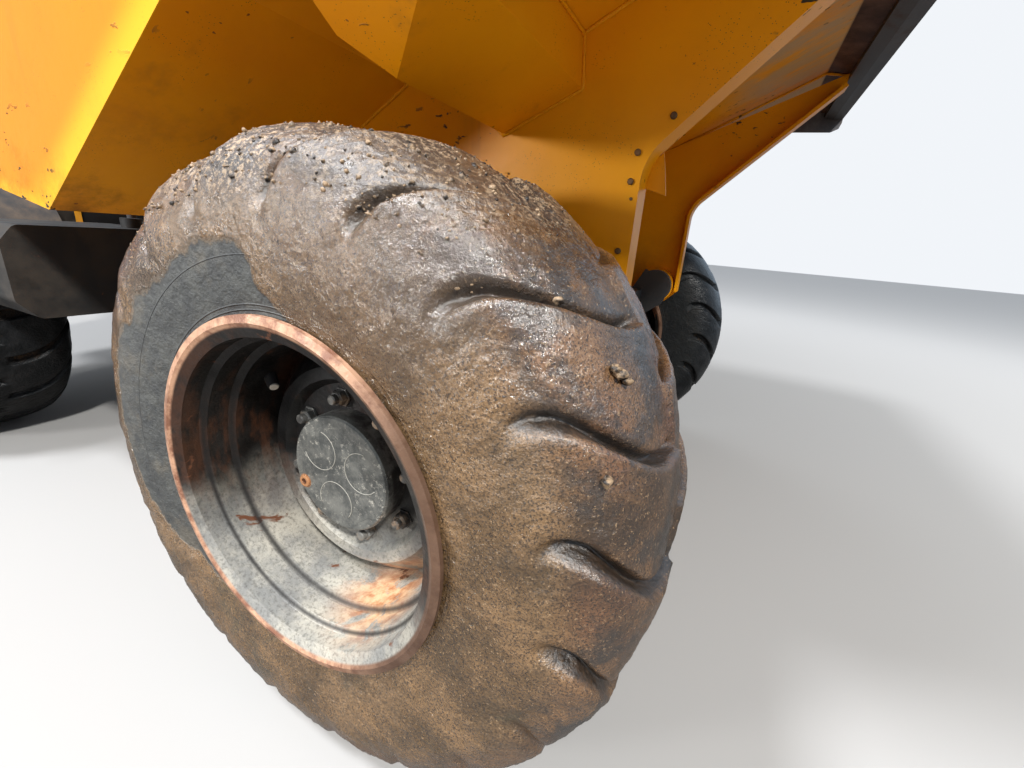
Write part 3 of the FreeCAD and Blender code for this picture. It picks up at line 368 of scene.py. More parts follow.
def rim_finish(name, centre, side, low):
    """low is the angle of the chalky side, in degrees round the axle."""
    f = Finish(name, Metallic=0.1, Specular_IOR_Level=0.4)
    radius = f.from_axis(centre)
    tone = f.mix(f.patches(7.0, 6.0, 0.7, 0.35, 0.7), (0.003, 0.003, 0.003), (0.016, 0.014, 0.013))
    brown = f.patches(3.6, 5.0, 0.7, 0.48, 0.60, 0.8, stretch=(1.0, 2.5, 1.0))
    tone = f.mix(brown, tone, (0.060, 0.025, 0.013))
    down = heading(low)
    level = np.dot(centre, down)
    depth = f.maths("ADD", f.along(down), f.times(f.noise(5.0, 5.0, 0.65), 0.16), False)
    pale = f.mix(f.patches(8.0, 5.0, 0.7, 0.35, 0.65), (0.24, 0.245, 0.24), (0.50, 0.48, 0.42))
    pale = f.mix(f.patches(150.0, 3.0, 0.7, 0.46, 0.66, 0.5), pale, (0.09, 0.088, 0.08))
    tone = f.mix(f.span(depth, level + 0.10, level + 0.27, 0.0, 0.9), tone, pale)
    spot = round_axle(centre, 0.25, low + 26, side * 0.12)
    patch = f.times(f.near(spot, 0.02, 0.15), f.span(radius, 0.19, 0.22),
                    f.patches(15.0, 6.0, 0.75, 0.40, 0.50, warp=0.5))
    rust = f.mix(f.patches(40.0, 4.0, 0.7, 0.35, 0.65), (0.46, 0.19, 0.08), (0.74, 0.49, 0.29))
    scab = f.times(f.patches(9.0, 5.0, 0.65, 0.62, 0.66, warp=0.6), f.span(radius, 0.15, 0.22))
    # painted shade: dark lines along the two corners of the barrel's steps
    corner = f.maths("ADD", *(f.line(f.aside(centre), at, width) for at, width in BARREL_CORNERS))
    pink = f.mix(f.patches(26.0, 5.0, 0.7, 0.34, 0.60), (0.22, 0.10, 0.062), (0.54, 0.32, 0.21))
    # one side of the flange turns dark brown: painted shade, with dark rust in it
    shaded_way = heading(low + 85)
    level = np.dot(centre, shaded_way)
    shade_and_rust = f.mix(f.noise(30.0), (0.030, 0.016, 0.010), (0.13, 0.075, 0.05))
    pink = f.mix(f.span(f.along(shaded_way), level + 0.09, level + 0.25, 0.0, 0.9), pink, shade_and_rust)
    for mask, colour in ((patch, rust), (scab, (0.14, 0.055, 0.028)),
                         (f.times(corner, 0.9), (0.010, 0.008, 0.007)), (f.span(radius, 0.292, 0.297), pink)):
        tone = f.mix(mask, tone, colour)
    return f.done(tone, f.span(f.noise(20.0), 0.3, 0.7, 0.30, 0.60), f.bump(f.noise(90.0, 4.0, 0.7), 0.0012))


# %% Bloomed hub cover
PLUG_AT = np.array([-0.0905, 0.0, -0.0415])
PLUG_OUT = 0.130


def hub_finish(name, centre, side):
    """Grey cover outside, darker drum with crusted nuts inside, rust on the plug in two rings."""
    f = Finish(name, Metallic=0.1)
    tone = f.mix(f.patches(14.0, 6.0, 0.75, 0.36, 0.64), (0.060, 0.065, 0.065), (0.170, 0.175, 0.165))
    bloom = f.times(f.patches(85.0, 5.0, 0.85, 0.54, 0.68), f.span(f.noise(13.0, 4.0), 0.36, 0.56, 0.25, 0.9))
    scratch = f.times(f.line(f.noise(6.0, 3.0, 0.5, warp=1.2), 0.5, 0.006), 0.35)
    inner = f.span(f.aside(centre), 0.108, 0.114, 1.0, 0.0)
    drum = f.mix(f.patches(18.0, 5.0, 0.7, 0.40, 0.62), (0.035, 0.033, 0.032), (0.20, 0.20, 0.19))
    crust = f.times(f.span(f.from_axis(centre), 0.119, 0.124), inner, f.patches(24.0, 4.0, 0.6, 0.46, 0.60))
    clay = f.mix(f.noise(60.0), (0.20, 0.11, 0.06), (0.48, 0.38, 0.28))
    plug = centre + PLUG_AT + np.array([0.0, side * PLUG_OUT, 0.0])
    for mask, colour in ((bloom, (0.52, 0.51, 0.46)), (scratch, (0.02, 0.02, 0.02)), (inner, drum),
                         (crust, clay), (f.near(plug, 0.0125, 0.017), (0.42, 0.20, 0.09)),
                         (f.near(plug, 0.005, 0.0075), (0.06, 0.018, 0.008))):
        tone = f.mix(mask, tone, colour)
    return f.done(tone, f.span(f.noise(25.0), 0.3, 0.7, 0.28, 0.50), f.bump(f.noise(110.0, 4.0, 0.7), 0.0008))


# %% [markdown]
# ## Plastics, rubber and lamp glass
# Small parts share a few plain finishes, each still with some dust in it.


# %% Plastics and lenses
def plastic(name, base, rough, dust=0.25, **sockets):
    """One colour under patches of pale dust, with a fine grain."""
    f = Finish(name, **sockets)
    tone = f.mix(f.patches(9.0, 6.0, 0.7, 0.4, 0.75, dust), base, SOIL_PALE)
    return f.done(tone, f.span(f.noise(30.0), 0.3, 0.7, rough, rough + 0.2), f.bump(f.noise(120.0), 0.0004))


AMBER = (0.85, 0.22, 0.008)
black_plastic = plastic("black_plastic", (0.022, 0.022, 0.024), 0.45)
vinyl = plastic("seat_vinyl", (0.020, 0.020, 0.022), 0.38, 0.15, Sheen_Weight=0.1)
red_lens = plastic("red_lens", (0.45, 0.008, 0.006), 0.15, 0.08, Coat_Weight=0.5)
clear_lens = plastic("clear_lens", (0.62, 0.65, 0.66), 0.10, 0.08, Metallic=0.3, Coat_Weight=0.6)
scribed = plastic("scribed_line", (0.34, 0.34, 0.31), 0.4, 0.1)
pale_cap = plastic("valve_cap", (0.62, 0.60, 0.55), 0.3, 0.1)

# %% [markdown]
# ## Tyre rubber and mud
# One finish serves all four tyres. The mesh carries three values worked out with the tread itself: mud,
# which passes one half at the edge of the mud; groove, 1 in the bottom of a crease; and the radius, which
# parts tread from sidewall and places the thin moulded rings. Wet mud is glossy in patches and grainy
# between them, so roughness and bump both follow further noises.


# %% Rubber and mud as colours
def rubber_tone(f, tread, painted_shade):
    """Grey and dusty on the sidewall, blue-black on the tread; the last argument blackens the sidewall as
    painted shade.
    """
    rubber = f.mix(f.patches(24.0, 6.0, 0.75, 0.35, 0.68), (0.010, 0.011, 0.011), (0.046, 0.048, 0.043))
    rubber = f.mix(f.patches(9.0, 5.0, 0.7, 0.48, 0.66, 0.4), rubber, (0.13, 0.108, 0.074))
    rubber = f.mix(painted_shade, rubber, (0.005, 0.006, 0.007))
    lugs = f.mix(f.patches(16.0, 4.0, 0.6, 0.4, 0.7), (0.007, 0.008, 0.009), (0.018, 0.019, 0.021))
    return f.mix(tread, rubber, lugs)


def mud_tone(f, tread, grit, crumbly, groove, soaked):
    """Brown with olive on the sidewall; red, grey and tan patches on the tread; then grit, pale grains,
    crumbs, creases darkened by damp and by painted shade, and a darker soaked place."""
    side = f.mix(f.patches(6.5, 5.0, 0.7, 0.36, 0.64), (0.085, 0.051, 0.022), (0.220, 0.132, 0.062))
    side = f.mix(f.patches(4.1, 5.0, 0.7, 0.54, 0.66, 0.6, warp=0.4), side, (0.060, 0.058, 0.036))
    top = f.mix(f.patches(4.5, 5.0, 0.65, 0.36, 0.64), (0.045, 0.028, 0.017), (0.190, 0.104, 0.050))
    top = f.mix(f.patches(2.9, 4.0, 0.6, 0.46, 0.64, 0.6), top, (0.15, 0.060, 0.032))
    top = f.mix(f.patches(7.7, 5.0, 0.7, 0.50, 0.62, 0.75), top, (0.026, 0.028, 0.030))
    top = f.mix(f.patches(3.3, 5.0, 0.7, 0.56, 0.68, 0.75, warp=0.4), top, (0.30, 0.16, 0.065))
    tone = f.mix(tread, side, top)
    crumbs = f.mix(f.patches(110.0, 4.0, 0.85, 0.48, 0.60), (0.014, 0.011, 0.010), (0.42, 0.31, 0.20))
    # creases darkened: partly damp mud, partly painted shade in the narrow grooves
    damp_and_shaded_crease = f.times(f.span(groove, 0.15, 0.55), f.span(f.noise(90.0, 4.0, 0.7), 0.30, 0.60, 1.0, 0.65))
    for mask, colour in ((f.span(grit, 0.48, 0.60, 0.0, 0.9), (0.024, 0.015, 0.010)),
                         (f.patches(210.0, 3.0, 0.8, 0.58, 0.70, 0.8), (0.38, 0.26, 0.15)),
                         (f.times(crumbly, 0.8), crumbs), (damp_and_shaded_crease, (0.013, 0.010, 0.008)),
                         (f.times(soaked, 0.5), (0.070, 0.048, 0.032))):
        tone = f.mix(mask, tone, colour)
    return tone


# %% Rubber under mud
WET_AT = (1.42, -1.25, 0.99)
MOULDED_RINGS = ((0.3265, 0.0018), (0.396, 0.0014))


def tyre_finish(name, shine, painted_shade):
    """shine is the strength of reflections; the last argument is how far the sidewall's rubber is blackened,
    as painted shade.
    """
    f = Finish(name, Specular_IOR_Level=shine)
    radius, groove = f.attribute("radius"), f.attribute("groove")
    ragged = f.maths("MULTIPLY", f.maths("SUBTRACT", f.noise(30.0, 7.0, 0.8), 0.5, False), 0.8, False)
    edge = f.maths("ADD", f.attribute("mud"), ragged, False)
    mud = f.span(edge, 0.38, 0.62)
    tread = f.span(radius, 0.46, 0.53)
    grit = f.noise(330.0, 3.0, 0.8)
    crumbly = f.times(f.span(groove, 0.05, 0.35, 1.0, 0.0), f.span(f.axis("Z"), 1.00, 1.12),
                      f.patches(5.3, 4.0, 0.6, 0.36, 0.52))
    soaked = f.near(WET_AT, 0.10, 0.27)
    tone = f.mix(mud, rubber_tone(f, tread, painted_shade), mud_tone(f, tread, grit, crumbly, groove, soaked))
    border = f.times(f.line(edge, 0.50, 0.07), f.span(tread, 0.0, 1.0, 0.45, 0.0))
    tone = f.mix(border, tone, (0.26, 0.18, 0.10))
    wet = f.maths("MAXIMUM", f.patches(5.0, 6.0, 0.7, 0.36, 0.58), soaked)
    wet = f.times(wet, f.span(f.axis("Z"), 1.03, 1.12, 1.0, 0.3))
    gloss = f.times(mud, f.maths("ADD", f.times(tread, 0.2), f.times(wet, 0.8)))
    gloss = f.times(gloss, f.span(groove, 0.10, 0.50, 1.0, 0.35), f.span(crumbly, 0.1, 0.8, 1.0, 0.2))
    bare = f.maths("MULTIPLY", f.maths("SUBTRACT", 1.0, mud), f.span(tread, 0.0, 1.0, 0.20, -0.12), False)
    rough = f.maths("ADD", f.span(gloss, 0.0, 0.78, 0.42, 0.12), bare)
    normal = f.bump(grit, 0.0007, strength=0.9)
    normal = f.bump(f.noise(105.0, 4.0, 0.65), 0.0030, normal, 0.9)
    normal = f.bump(f.noise(26.0, 4.0, 0.6), 0.008, normal, 0.6)
    normal = f.bump(mud, 0.0025, normal)
    rings = f.line(radius, 0.3185, 0.0018)
    for at, width in MOULDED_RINGS:
        rings = f.maths("ADD", rings, f.line(radius, at, width))
    rings = f.times(rings, f.span(mud, 0.2, 0.8, 1.0, 0.15))
    return f.done(f.mix(f.times(rings, 0.35), tone, (0.02, 0.02, 0.018)), rough, f.bump(rings, 0.002, normal))


muddy_tyre = tyre_finish("muddy_tyre", 1.0, 0.0)
# the other three tyres: little mud, and the sidewall blackened as painted shade, since they stand in shadow
clean_tyre = tyre_finish("clean_tyre", 0.25, 0.88)

# %% [markdown]
# ## Surfaces from grids
# Every new piece is a grid of points worked out as arrays. One function turns a grid into a mesh, joins
# its ends when the shape is closed, and merges the doubled points at poles.


# %% Grid to mesh
def grid_quads(grid, closed, start):
    """Faces of a grid, each joining four neighbours; a closed direction joins its last line to its first."""
    rows, columns = grid.shape[:2]
    index = start + np.arange(rows * columns).reshape(rows, columns)
    down = np.roll(index, -1, 0)
    quads = np.stack([index, down, np.roll(down, -1, 1), np.roll(index, -1, 1)], -1)
    return quads[: rows if closed[0] else rows - 1, : columns if closed[1] else columns - 1].reshape(-1, 4)


def surface(name, points, material, body, slot, closed=(False, True), values=None, flip=False, smooth=True,
            crease=None):
    """Mesh from points of shape (rows, columns, 3), or several such grids in a list.

    values holds named arrays, one number a point. Edges that turn by more than the crease, in degrees,
    stay sharp.
    """
    grids = points if isinstance(points, list) else [points]
    coordinates = np.concatenate([g.reshape(-1, 3) for g in grids])
    starts = np.cumsum([0] + [g.shape[0] * g.shape[1] for g in grids])
    quads = np.concatenate([grid_quads(g, closed, start) for g, start in zip(grids, starts)])
    if flip:
        quads = quads[:, ::-1]
    mesh = bpy.data.meshes.new(name)
    mesh.vertices.add(len(coordinates))
    mesh.vertices.foreach_set("co", coordinates.astype(np.float32).ravel())
    mesh.loops.add(quads.size)
    mesh.loops.foreach_set("vertex_index", quads.astype(np.int32).ravel())
    mesh.polygons.add(len(quads))
    mesh.polygons.foreach_set("loop_start", np.arange(0, quads.size, 4, dtype=np.int32))
    mesh.update(calc_edges=True)
    for key, numbers in (values or {}).items():
        layer = mesh.attributes.new(key, "FLOAT", "POINT")
        layer.data.foreach_set("value", numbers.astype(np.float32).ravel())
    work = bmesh.new()
    work.from_mesh(mesh)
    bmesh.ops.remove_doubles(work, verts=work.verts, dist=1e-6)
    work.to_mesh(mesh)
    work.free()
    mesh.polygons.foreach_set("use_smooth", np.full(len(mesh.polygons), smooth))
    if crease:
        mesh.set_sharp_from_angle(angle=np.radians(crease))
    mesh.materials.append(material)
    piece = bpy.data.objects.new(name, mesh)
    bpy.context.scene.collection.objects.link(piece)
    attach(piece, body)
    print(name, len(mesh.polygons), "faces")
    return piece


# %% [markdown]
# ## Noise as arrays
# Mud, wear and welds are uneven, and the same each time the script runs. So their noise is a fixed
# function of the place, with no random draws.


# %% Repeatable noise
def lattice_noise(points, size):
    """Value noise: random numbers at the corners of cubes of a size, eased between, from -1 to 1."""
    scaled = points / size
    cell = np.floor(scaled)
    part = scaled - cell
    ease = part * part * (3 - 2 * part)
    total = np.zeros(points.shape[:-1])
    for corner in range(8):
        step = np.array([corner & 1, corner >> 1 & 1, corner >> 2 & 1])
        at = cell + step
        wave = np.sin(at[..., 0] * 127.1 + at[..., 1] * 311.7 + at[..., 2] * 74.7) * 43758.5453
        weight = np.prod(np.where(step == 1, ease, 1 - ease), -1)
        total += (wave - np.floor(wave)) * weight
    return total * 2 - 1


def rough_noise(points, size, octaves=4):
    """Sum of lattice noises, each half the size and half the strength of the last."""
    return sum(lattice_noise(points + 7.3 * k, size / 2 ** k) / 2 ** k for k in range(octaves))


def steps(value, low, high):
    """Smooth step from 0 at low to 1 at high."""
    t = np.clip((value - low) / (high - low), 0, 1)
    return t * t * (3 - 2 * t)


# %% [markdown]
# ## Tyres
# The tyre is a grid of two parameters: an angle round the axle, and the way across its section from bead
# to bead. The section is a smooth curve through fourteen points. The grid is sheared: towards the middle
# of the tread its lines lean back, steeply at the shoulder and less further in, just as the lugs do, so
# that each groove runs along a line of the grid and keeps clean walls. Near the bead end of the lugs the
# lines hook down. Grooves on one side lie half a pitch from those on the other.

# %% Section of the tyre, as (offset from the middle, radius), and how its grooves run
HALF_SECTION = [(0.0, 0.5895), (0.05, 0.5885), (0.10, 0.585), (0.15, 0.576), (0.192, 0.558), (0.222, 0.531),
                (0.238, 0.496), (0.2455, 0.445), (0.2445, 0.395), (0.240, 0.350), (0.2355, 0.318),
                (0.2355, 0.300), (0.231, 0.2875), (0.205, 0.2868)]
PITCHES = 19
PITCH = 360.0 / PITCHES
SHOULDER = 0.244
SWEEP = 14.5
SWEEP_POWER = 2.65
HOOK = 5.0
HOOK_FROM = 0.475
HOOK_OVER = 0.075
FRONT_CREASE_AT = 13.4
REAR_CREASE_AT = 5.0


def section(count, crowd):
    """Section from the outboard bead to the inboard bead: (offset, radius) along a smooth curve through
    the named points, with the outward normal of each step. Steps are shorter outboard by the share crowd."""
    half = np.array(HALF_SECTION)
    knots = np.concatenate([half[::-1], half[1:] * [-1, 1]])
    before = np.concatenate([[2 * knots[0] - knots[1]], knots[:-1]])
    after = np.concatenate([knots[1:], [2 * knots[-1] - knots[-2]]])
    slope = (after - before) / 2
    t = np.linspace(0, 1, 24, endpoint=False)[:, None, None]
    p0, p1, m0, m1 = knots[:-1], knots[1:], slope[:-1], slope[1:]
    fine = ((2 * t ** 3 - 3 * t ** 2 + 1) * p0 + (t ** 3 - 2 * t ** 2 + t) * m0
            + (3 * t ** 2 - 2 * t ** 3) * p1 + (t ** 3 - t ** 2) * m1)
    fine = np.concatenate([fine.transpose(1, 0, 2).reshape(-1, 2), knots[-1:]])
    length = np.concatenate([[0], np.cumsum(np.hypot(*np.diff(fine, axis=0).T))])
    u = np.linspace(0, 1, count)
    at = length[-1] * ((1 - crowd) * u + crowd * u * u)
    line = np.stack([np.interp(at, length, fine[:, k]) for k in (0, 1)], -1)
    tangent = np.gradient(line, axis=0)
    normal = np.stack([tangent[:, 1], -tangent[:, 0]], -1)
    return line, normal / np.linalg.norm(normal, axis=1, keepdims=True)


# %% Grid lines round the tyre, as angles within one half pitch from a groove's middle
CLEAN_ROWS = np.array([-4.7, -3.4, -2.6, -2.2, -1.95, -1.7, -1.0, 0.0, 1.0, 1.7, 1.95, 2.2, 2.6, 3.4])
CAKED_ROWS = np.linspace(-PITCH / 4, PITCH / 4, 23, endpoint=False)

# %% Radius inside which the near sidewall is bare rubber, by angle round the axle
BARE_EDGE = [(0, 0.300), (70, 0.302), (83, 0.308), (88, 0.335), (92, 0.375), (97, 0.408), (103, 0.416),
             (110, 0.424), (126, 0.420), (144, 0.443), (150, 0.461), (165, 0.470), (180, 0.460), (195, 0.440),
             (215, 0.360), (235, 0.322), (270, 0.316), (320, 0.306), (360, 0.300)]

# %% [markdown]
# ### Tread
# Clean lugs are cut off square. Caked ones are blunt: each swells away from its groove and ends in a soft
# ledge where the mud hangs over the sidewall. Both depend on how far round a point is from the nearest
# groove.

# %% Tread height, from the angle, offset and radius of each grid point
GROOVE_DEPTH = 0.024
CREASE_HALF = 0.0075
LEDGE_RADIUS = 0.486
LEDGE_DROP = 0.013
LUG_SWELL = 0.016


def tread_height(base, offset, radius, caked):
    """Height in metres along the normal, and how deep in a groove each point is, from 0 to 1.

    base is the angle before the shear, less the phase of the outboard grooves, in degrees.
    """
    half = np.where(offset >= 0, 0.0, PITCH / 2)
    share = np.mod(half - base, PITCH) / PITCH
    round_gap = np.minimum(share, 1 - share) * PITCH
    inner = steps(np.abs(offset), 0.0, 0.03)
    if not caked:
        groove = (1 - steps(round_gap, 1.75, 2.25)) * steps(radius, 0.455, 0.475) * (0.2 + 0.8 * inner)
        return -GROOVE_DEPTH * groove, groove
    slope = np.radians(SWEEP) * SWEEP_POWER * (np.abs(offset) / SHOULDER) ** (SWEEP_POWER - 1) / SHOULDER
    gap = np.radians(round_gap) * radius / np.hypot(1.0, slope * radius)
    groove = np.exp(-(gap / CREASE_HALF) ** 2) * steps(radius, 0.440, 0.500) * (0.3 + 0.7 * inner)
    swell = (1 - share) ** 1.5 * steps(share, 0.0, 0.05)
    soft = 0.007 + 0.030 * share
    ledge = steps((radius - LEDGE_RADIUS) / soft, -1.0, 1.0)
    return ledge * (LUG_SWELL * swell - LEDGE_DROP) - GROOVE_DEPTH * groove, groove


# %% [markdown]
# ### Mud
# The near wheel carries the mud: bare rubber near the rim, a ragged edge, and lumps that half fill the
# grooves, most of all at the top, where it has dried. The others have a little in their grooves.


# %% One tyre
GROUND_GAP = 0.0005
MOST_MUD = 0.004


def caking(flat, offset, radius, angle, height, groove):
    """Mud, height and groove under caked mud: mud passes one half at the bare edge, noise lifts it, and
    grooves are filled on the side away from 60 degrees."""
    degrees = np.mod(angle, 360.0)
    turn = np.radians(angle)
    wander = degrees + 4.0 * rough_noise(flat, 0.05, 4) * steps(degrees, 70, 90)
    bare_to = np.interp(wander, *zip(*BARE_EDGE)) + 0.006 * rough_noise(flat, 0.07, 4)
    mud = np.where(offset > 0.1, np.clip(0.5 + (radius - bare_to) / 0.06, 0, 1), 1.0)
    lumps = 0.0026 * rough_noise(flat, 0.11, 5) + 0.0020 * np.abs(rough_noise(flat, 0.022, 3))
    top = steps(np.sin(turn), 0.62, 0.95) * steps(radius, 0.47, 0.54)
    lumps = lumps + top * (0.2 + 0.3 * groove) * 0.009 * np.abs(rough_noise(flat, 0.014, 3))
    filled = 0.14 + 0.86 * steps(np.cos(turn - np.radians(60)), -0.15, 0.55)
    return mud, np.minimum(filled * height + steps(mud, 0.4, 0.8) * lumps, MOST_MUD), groove * filled


def tyre(name, caked):
    """Caked tyres get the finest grid, since the picture is taken from beside one."""
    lo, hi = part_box("tyre_" + name)
    centre = np.array((lo + hi) / 2)
    side = 1.0 if centre[1] > 0 else -1.0
    front = centre[0] > 0
    rows = CAKED_ROWS if caked else CLEAN_ROWS
    base = (np.arange(2 * PITCHES)[:, None] * PITCH / 2 + rows).reshape(-1, 1)
    line, normal = section(*((108, 0.35) if caked else (76, 0.0)))
    offset, radius = line[None, :, 0], line[None, :, 1]
    swept = SWEEP * np.clip(1 - (np.abs(offset) / SHOULDER) ** SWEEP_POWER, 0, None)
    hook = HOOK * np.clip((HOOK_FROM - radius) / HOOK_OVER, 0, 1) ** 1.5
    angle = base + (FRONT_CREASE_AT if front else REAR_CREASE_AT) - swept - hook
    turn = np.radians(angle)
    height, groove = tread_height(base, offset, radius, caked)

    def place(lift):
        """Points of the section moved a lift along its normal, then turned round the axle."""
        r = radius + lift * normal[None, :, 1]
        s = offset + lift * normal[None, :, 0]
        return centre + np.stack([r * np.cos(turn), side * s + 0 * r, r * np.sin(turn)], -1)

    flat = place(0 * angle)
    if caked:
        mud, height, groove = caking(flat, offset, radius, angle, height, groove)
    else:
        worn = 0.5 + 0.5 * lattice_noise(flat, 0.2)
        mud = np.clip(0.22 * groove + 0.26 * worn + (0.0 if front else 0.12), 0, 1)
        height = height + 0.0008 * rough_noise(flat, 0.03, 2)
    points = place(height)
    points[..., 2] = np.maximum(points[..., 2], GROUND_GAP)
    piece = surface("rubber_" + name, points, muddy_tyre if caked else clean_tyre, "wheel_" + name, "tyre",
                    closed=(True, False), values={"mud": mud, "groove": groove, "radius": radius + 0 * angle},
                    flip=side < 0)
    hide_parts("tyre_" + name)
    return centre, side, points, np.mod(angle, 360.0), groove


WHEEL_NAMES = ("front_left", "front_right", "rear_left", "rear_right")
wheels = {name: tyre(name, caked=name == "front_right") for name in WHEEL_NAMES}

# %% [markdown]
# ## Crumbs of dry soil
# Along the top of the near tyre, where mud has dried first, crumbs sit in the grooves and on the edges of
# the lugs, with six bigger clods. Each is a small ball of a few dozen faces, pushed in and out at random.


# %% Lumpy little balls
def balls(centres, sizes, rows, sides):
    """List of grids: a ball of a size at each centre, its radius varied by noise and a little flattened."""
    v = np.linspace(0, np.pi, rows)[:, None]
    u = np.linspace(0, 2 * np.pi, sides, endpoint=False)[None, :]
    unit = np.stack([np.sin(v) * np.cos(u), np.sin(v) * np.sin(u), np.cos(v) + 0 * u], -1)
    grids = []
    for centre, size in zip(centres, sizes):
        swell = 1 + 0.7 * lattice_noise(unit + 50 * centre, 0.7)
        grids.append(centre + size * swell[..., None] * unit * (1.0, 1.0, 0.8))
    return grids


# %% Crumbs where the mud is dry, and clods at places of their own, as (offset, angle)
CRUMBS = 1500
CLODS = [(0.148, 32.1), (0.153, 33.1), (0.141, 31.0), (0.210, 21.7), (0.173, 40.4), (0.177, 43.0)]
CLOD_SIZES = [0.0085, 0.0065, 0.006, 0.008, 0.0045, 0.0055]
near_centre, near_side, near_points, near_degrees, near_groove = wheels["front_right"]
rng = np.random.default_rng(7)
outboard = near_points.shape[1] * 2 // 3
weight = steps(near_degrees, 48, 62) * (1 - steps(near_degrees, 122, 140))
weight = weight * (0.04 + steps(near_groove, 0.2, 0.7))
from_axle = np.hypot(near_points[..., 0] - near_centre[0], near_points[..., 2] - near_centre[2])
weight = weight * (np.arange(near_points.shape[1]) < outboard) * (from_axle > 0.49)
picked = rng.choice(weight.size, CRUMBS, replace=False, p=weight.ravel() / weight.sum())
crumb_at = near_points.reshape(-1, 3)[picked]
crumb_sizes = rng.lognormal(np.log(0.0020), 0.42, CRUMBS).clip(0.0011, 0.0056)
clod_at = []
for offset, degrees in CLODS:
    radius = np.interp(offset, *np.array(HALF_SECTION[:7]).T) - 0.002
    clod_at.append(round_axle(near_centre, radius, degrees, near_side * offset))
dry_soil = Finish("dry_soil")
soil_tone = dry_soil.mix(dry_soil.patches(60.0, 3.0, 0.6, 0.40, 0.60), (0.016, 0.012, 0.010),
                         (0.34, 0.24, 0.15))
dry_soil.done(soil_tone, dry_soil.noise(30.0), dry_soil.bump(dry_soil.noise(300.0, 3.0), 0.0015))
surface("crumbs", balls(crumb_at, crumb_sizes, 5, 6) + balls(clod_at, CLOD_SIZES, 9, 12), dry_soil.material,
        "wheel_front_right", "tyre")

# %% [markdown]
# ## Small turned parts
# Bolt heads, nuts, lugs and lenses are one outline turned about many axes. The outline is a list of
# (height along the axis, radius); a turn in six steps makes a hexagon.


# %% One outline turned about many axes
def turned(outline, sides, centres, axes):
    """List of grids: for each centre and axis, rings of the outline's radius at its height."""
    outline = np.array(outline)
    turn = np.linspace(0, 2 * np.pi, sides, endpoint=False)
    grids = []
    for centre, axis in zip(centres, axes):
        axis = np.array(axis) / np.linalg.norm(axis)
        first = np.cross(axis, (0.0, 0.0, 1.0) if abs(axis[2]) < 0.9 else (1.0, 0.0, 0.0))
        first /= np.linalg.norm(first)
        second = np.cross(axis, first)
        ring = np.cos(turn)[:, None] * first + np.sin(turn)[:, None] * second
        grids.append(np.array(centre) + outline[:, 0, None, None] * axis + outline[:, 1, None, None] * ring)
    return grids


# %% Bolts down each skip leg, as (x, z, share of full size)
BOLT = [(0.0, 0.0), (0.0, 0.0068), (0.0045, 0.0068), (0.006, 0.005), (0.006, 0.0)]
LEG_BOLTS = [(1.659, 1.289, 1.0), (1.599, 1.223, 1.0), (1.593, 1.167, 1.0), (1.599, 1.133, 0.5),
             (1.588, 1.024, 1.0)]
LEG_FACE = 0.620
bolts = []
for side in (-1, 1):
    for x, z, share in LEG_BOLTS:
        bolts += turned(np.array(BOLT) * share, 12, [(x, side * LEG_FACE, z)], [(0, side, 0)])
surface("leg_bolts", bolts, bolt_steel, "skip", "bare_steel", smooth=False)

# %% [markdown]
# ## Round bars
# Scribed arcs, welds and the seat's piping are all round bars that follow a path, so one function makes
# them: it carries a ring along the path and lets the ring's radius change on the way.


# %% Round bar along a path
def tube(path, radius, sides=8):
    """Round bar along a path of points: a ring of a radius across the path's direction at each point,
    with both ends drawn in to a point. The radius may be a list, one number a point."""
    ahead = np.gradient(path, axis=0)
    ahead /= np.linalg.norm(ahead, axis=1, keepdims=True)
    reference = np.eye(3)[np.argmin(np.ptp(path, axis=0))]
    first = np.cross(ahead, reference)
    first /= np.linalg.norm(first, axis=1, keepdims=True)
    second = np.cross(ahead, first)
    turn = np.linspace(0, 2 * np.pi, sides, endpoint=False)[None, :, None]
    ring = np.cos(turn) * first[:, None] + np.sin(turn) * second[:, None]
    grid = path[:, None] + np.broadcast_to(radius, len(path))[:, None, None] * ring
    ends = [np.repeat(path[:1, None], sides, 1), np.repeat(path[-1:, None], sides, 1)]
    return np.concatenate([ends[0], grid, ends[1]])


def along(corners, spacing):
    """Points at an even spacing along a path with corners."""
    corners = np.array(corners, float)
    length = np.concatenate([[0], np.cumsum(np.linalg.norm(np.diff(corners, axis=0), axis=1))])
    at = np.linspace(0, length[-1], max(2, int(length[-1] / spacing)))
    return np.stack([np.interp(at, length, corners[:, k]) for k in range(3)], -1)


# %% [markdown]
# ## Hub covers, nuts and valves
# A cover stands in the middle of each disc, with a filler plug, three arcs scribed in it and eight nuts
# round it. The valve leans inwards from the rim. All are turned outlines on the wheel's own axis, so
# that one loop serves four wheels.

# %% Outlines, as (distance out from the wheel's middle, radius)
HUB = [(0.040, 0.0), (0.040, 0.060), (-0.255, 0.060), (-0.255, 0.118), (-0.235, 0.128), (0.020, 0.128),
       (0.046, 0.118), (0.046, 0.164), (0.068, 0.164), (0.068, 0.117), (0.116, 0.117), (0.122, 0.1155),
       (0.1255, 0.112), (0.126, 0.108), (0.126, 0.0)]
PLUG = [(0.126, 0.0), (0.126, 0.0125), (0.1285, 0.0125), (0.1300, 0.0110), (0.1300, 0.0062), (0.1275, 0.0055),
        (0.1275, 0.0)]

# %% Outlines, as (height above the face that each stands on, radius)
NUT = [(0.0, 0.0), (0.0, 0.0200), (0.003, 0.0200), (0.003, 0.0160), (0.015, 0.0160), (0.018, 0.0135),
       (0.018, 0.0)]
STUD_END = [(0.017, 0.0), (0.017, 0.0098), (0.027, 0.0098), (0.029, 0.0078), (0.029, 0.0)]
VALVE = [(-0.004, 0.0), (-0.004, 0.0130), (0.010, 0.0125), (0.030, 0.0105), (0.030, 0.0)]
CAP = [(0.0295, 0.0), (0.0295, 0.0085), (0.0325, 0.0085), (0.0335, 0.0070), (0.0335, 0.0)]

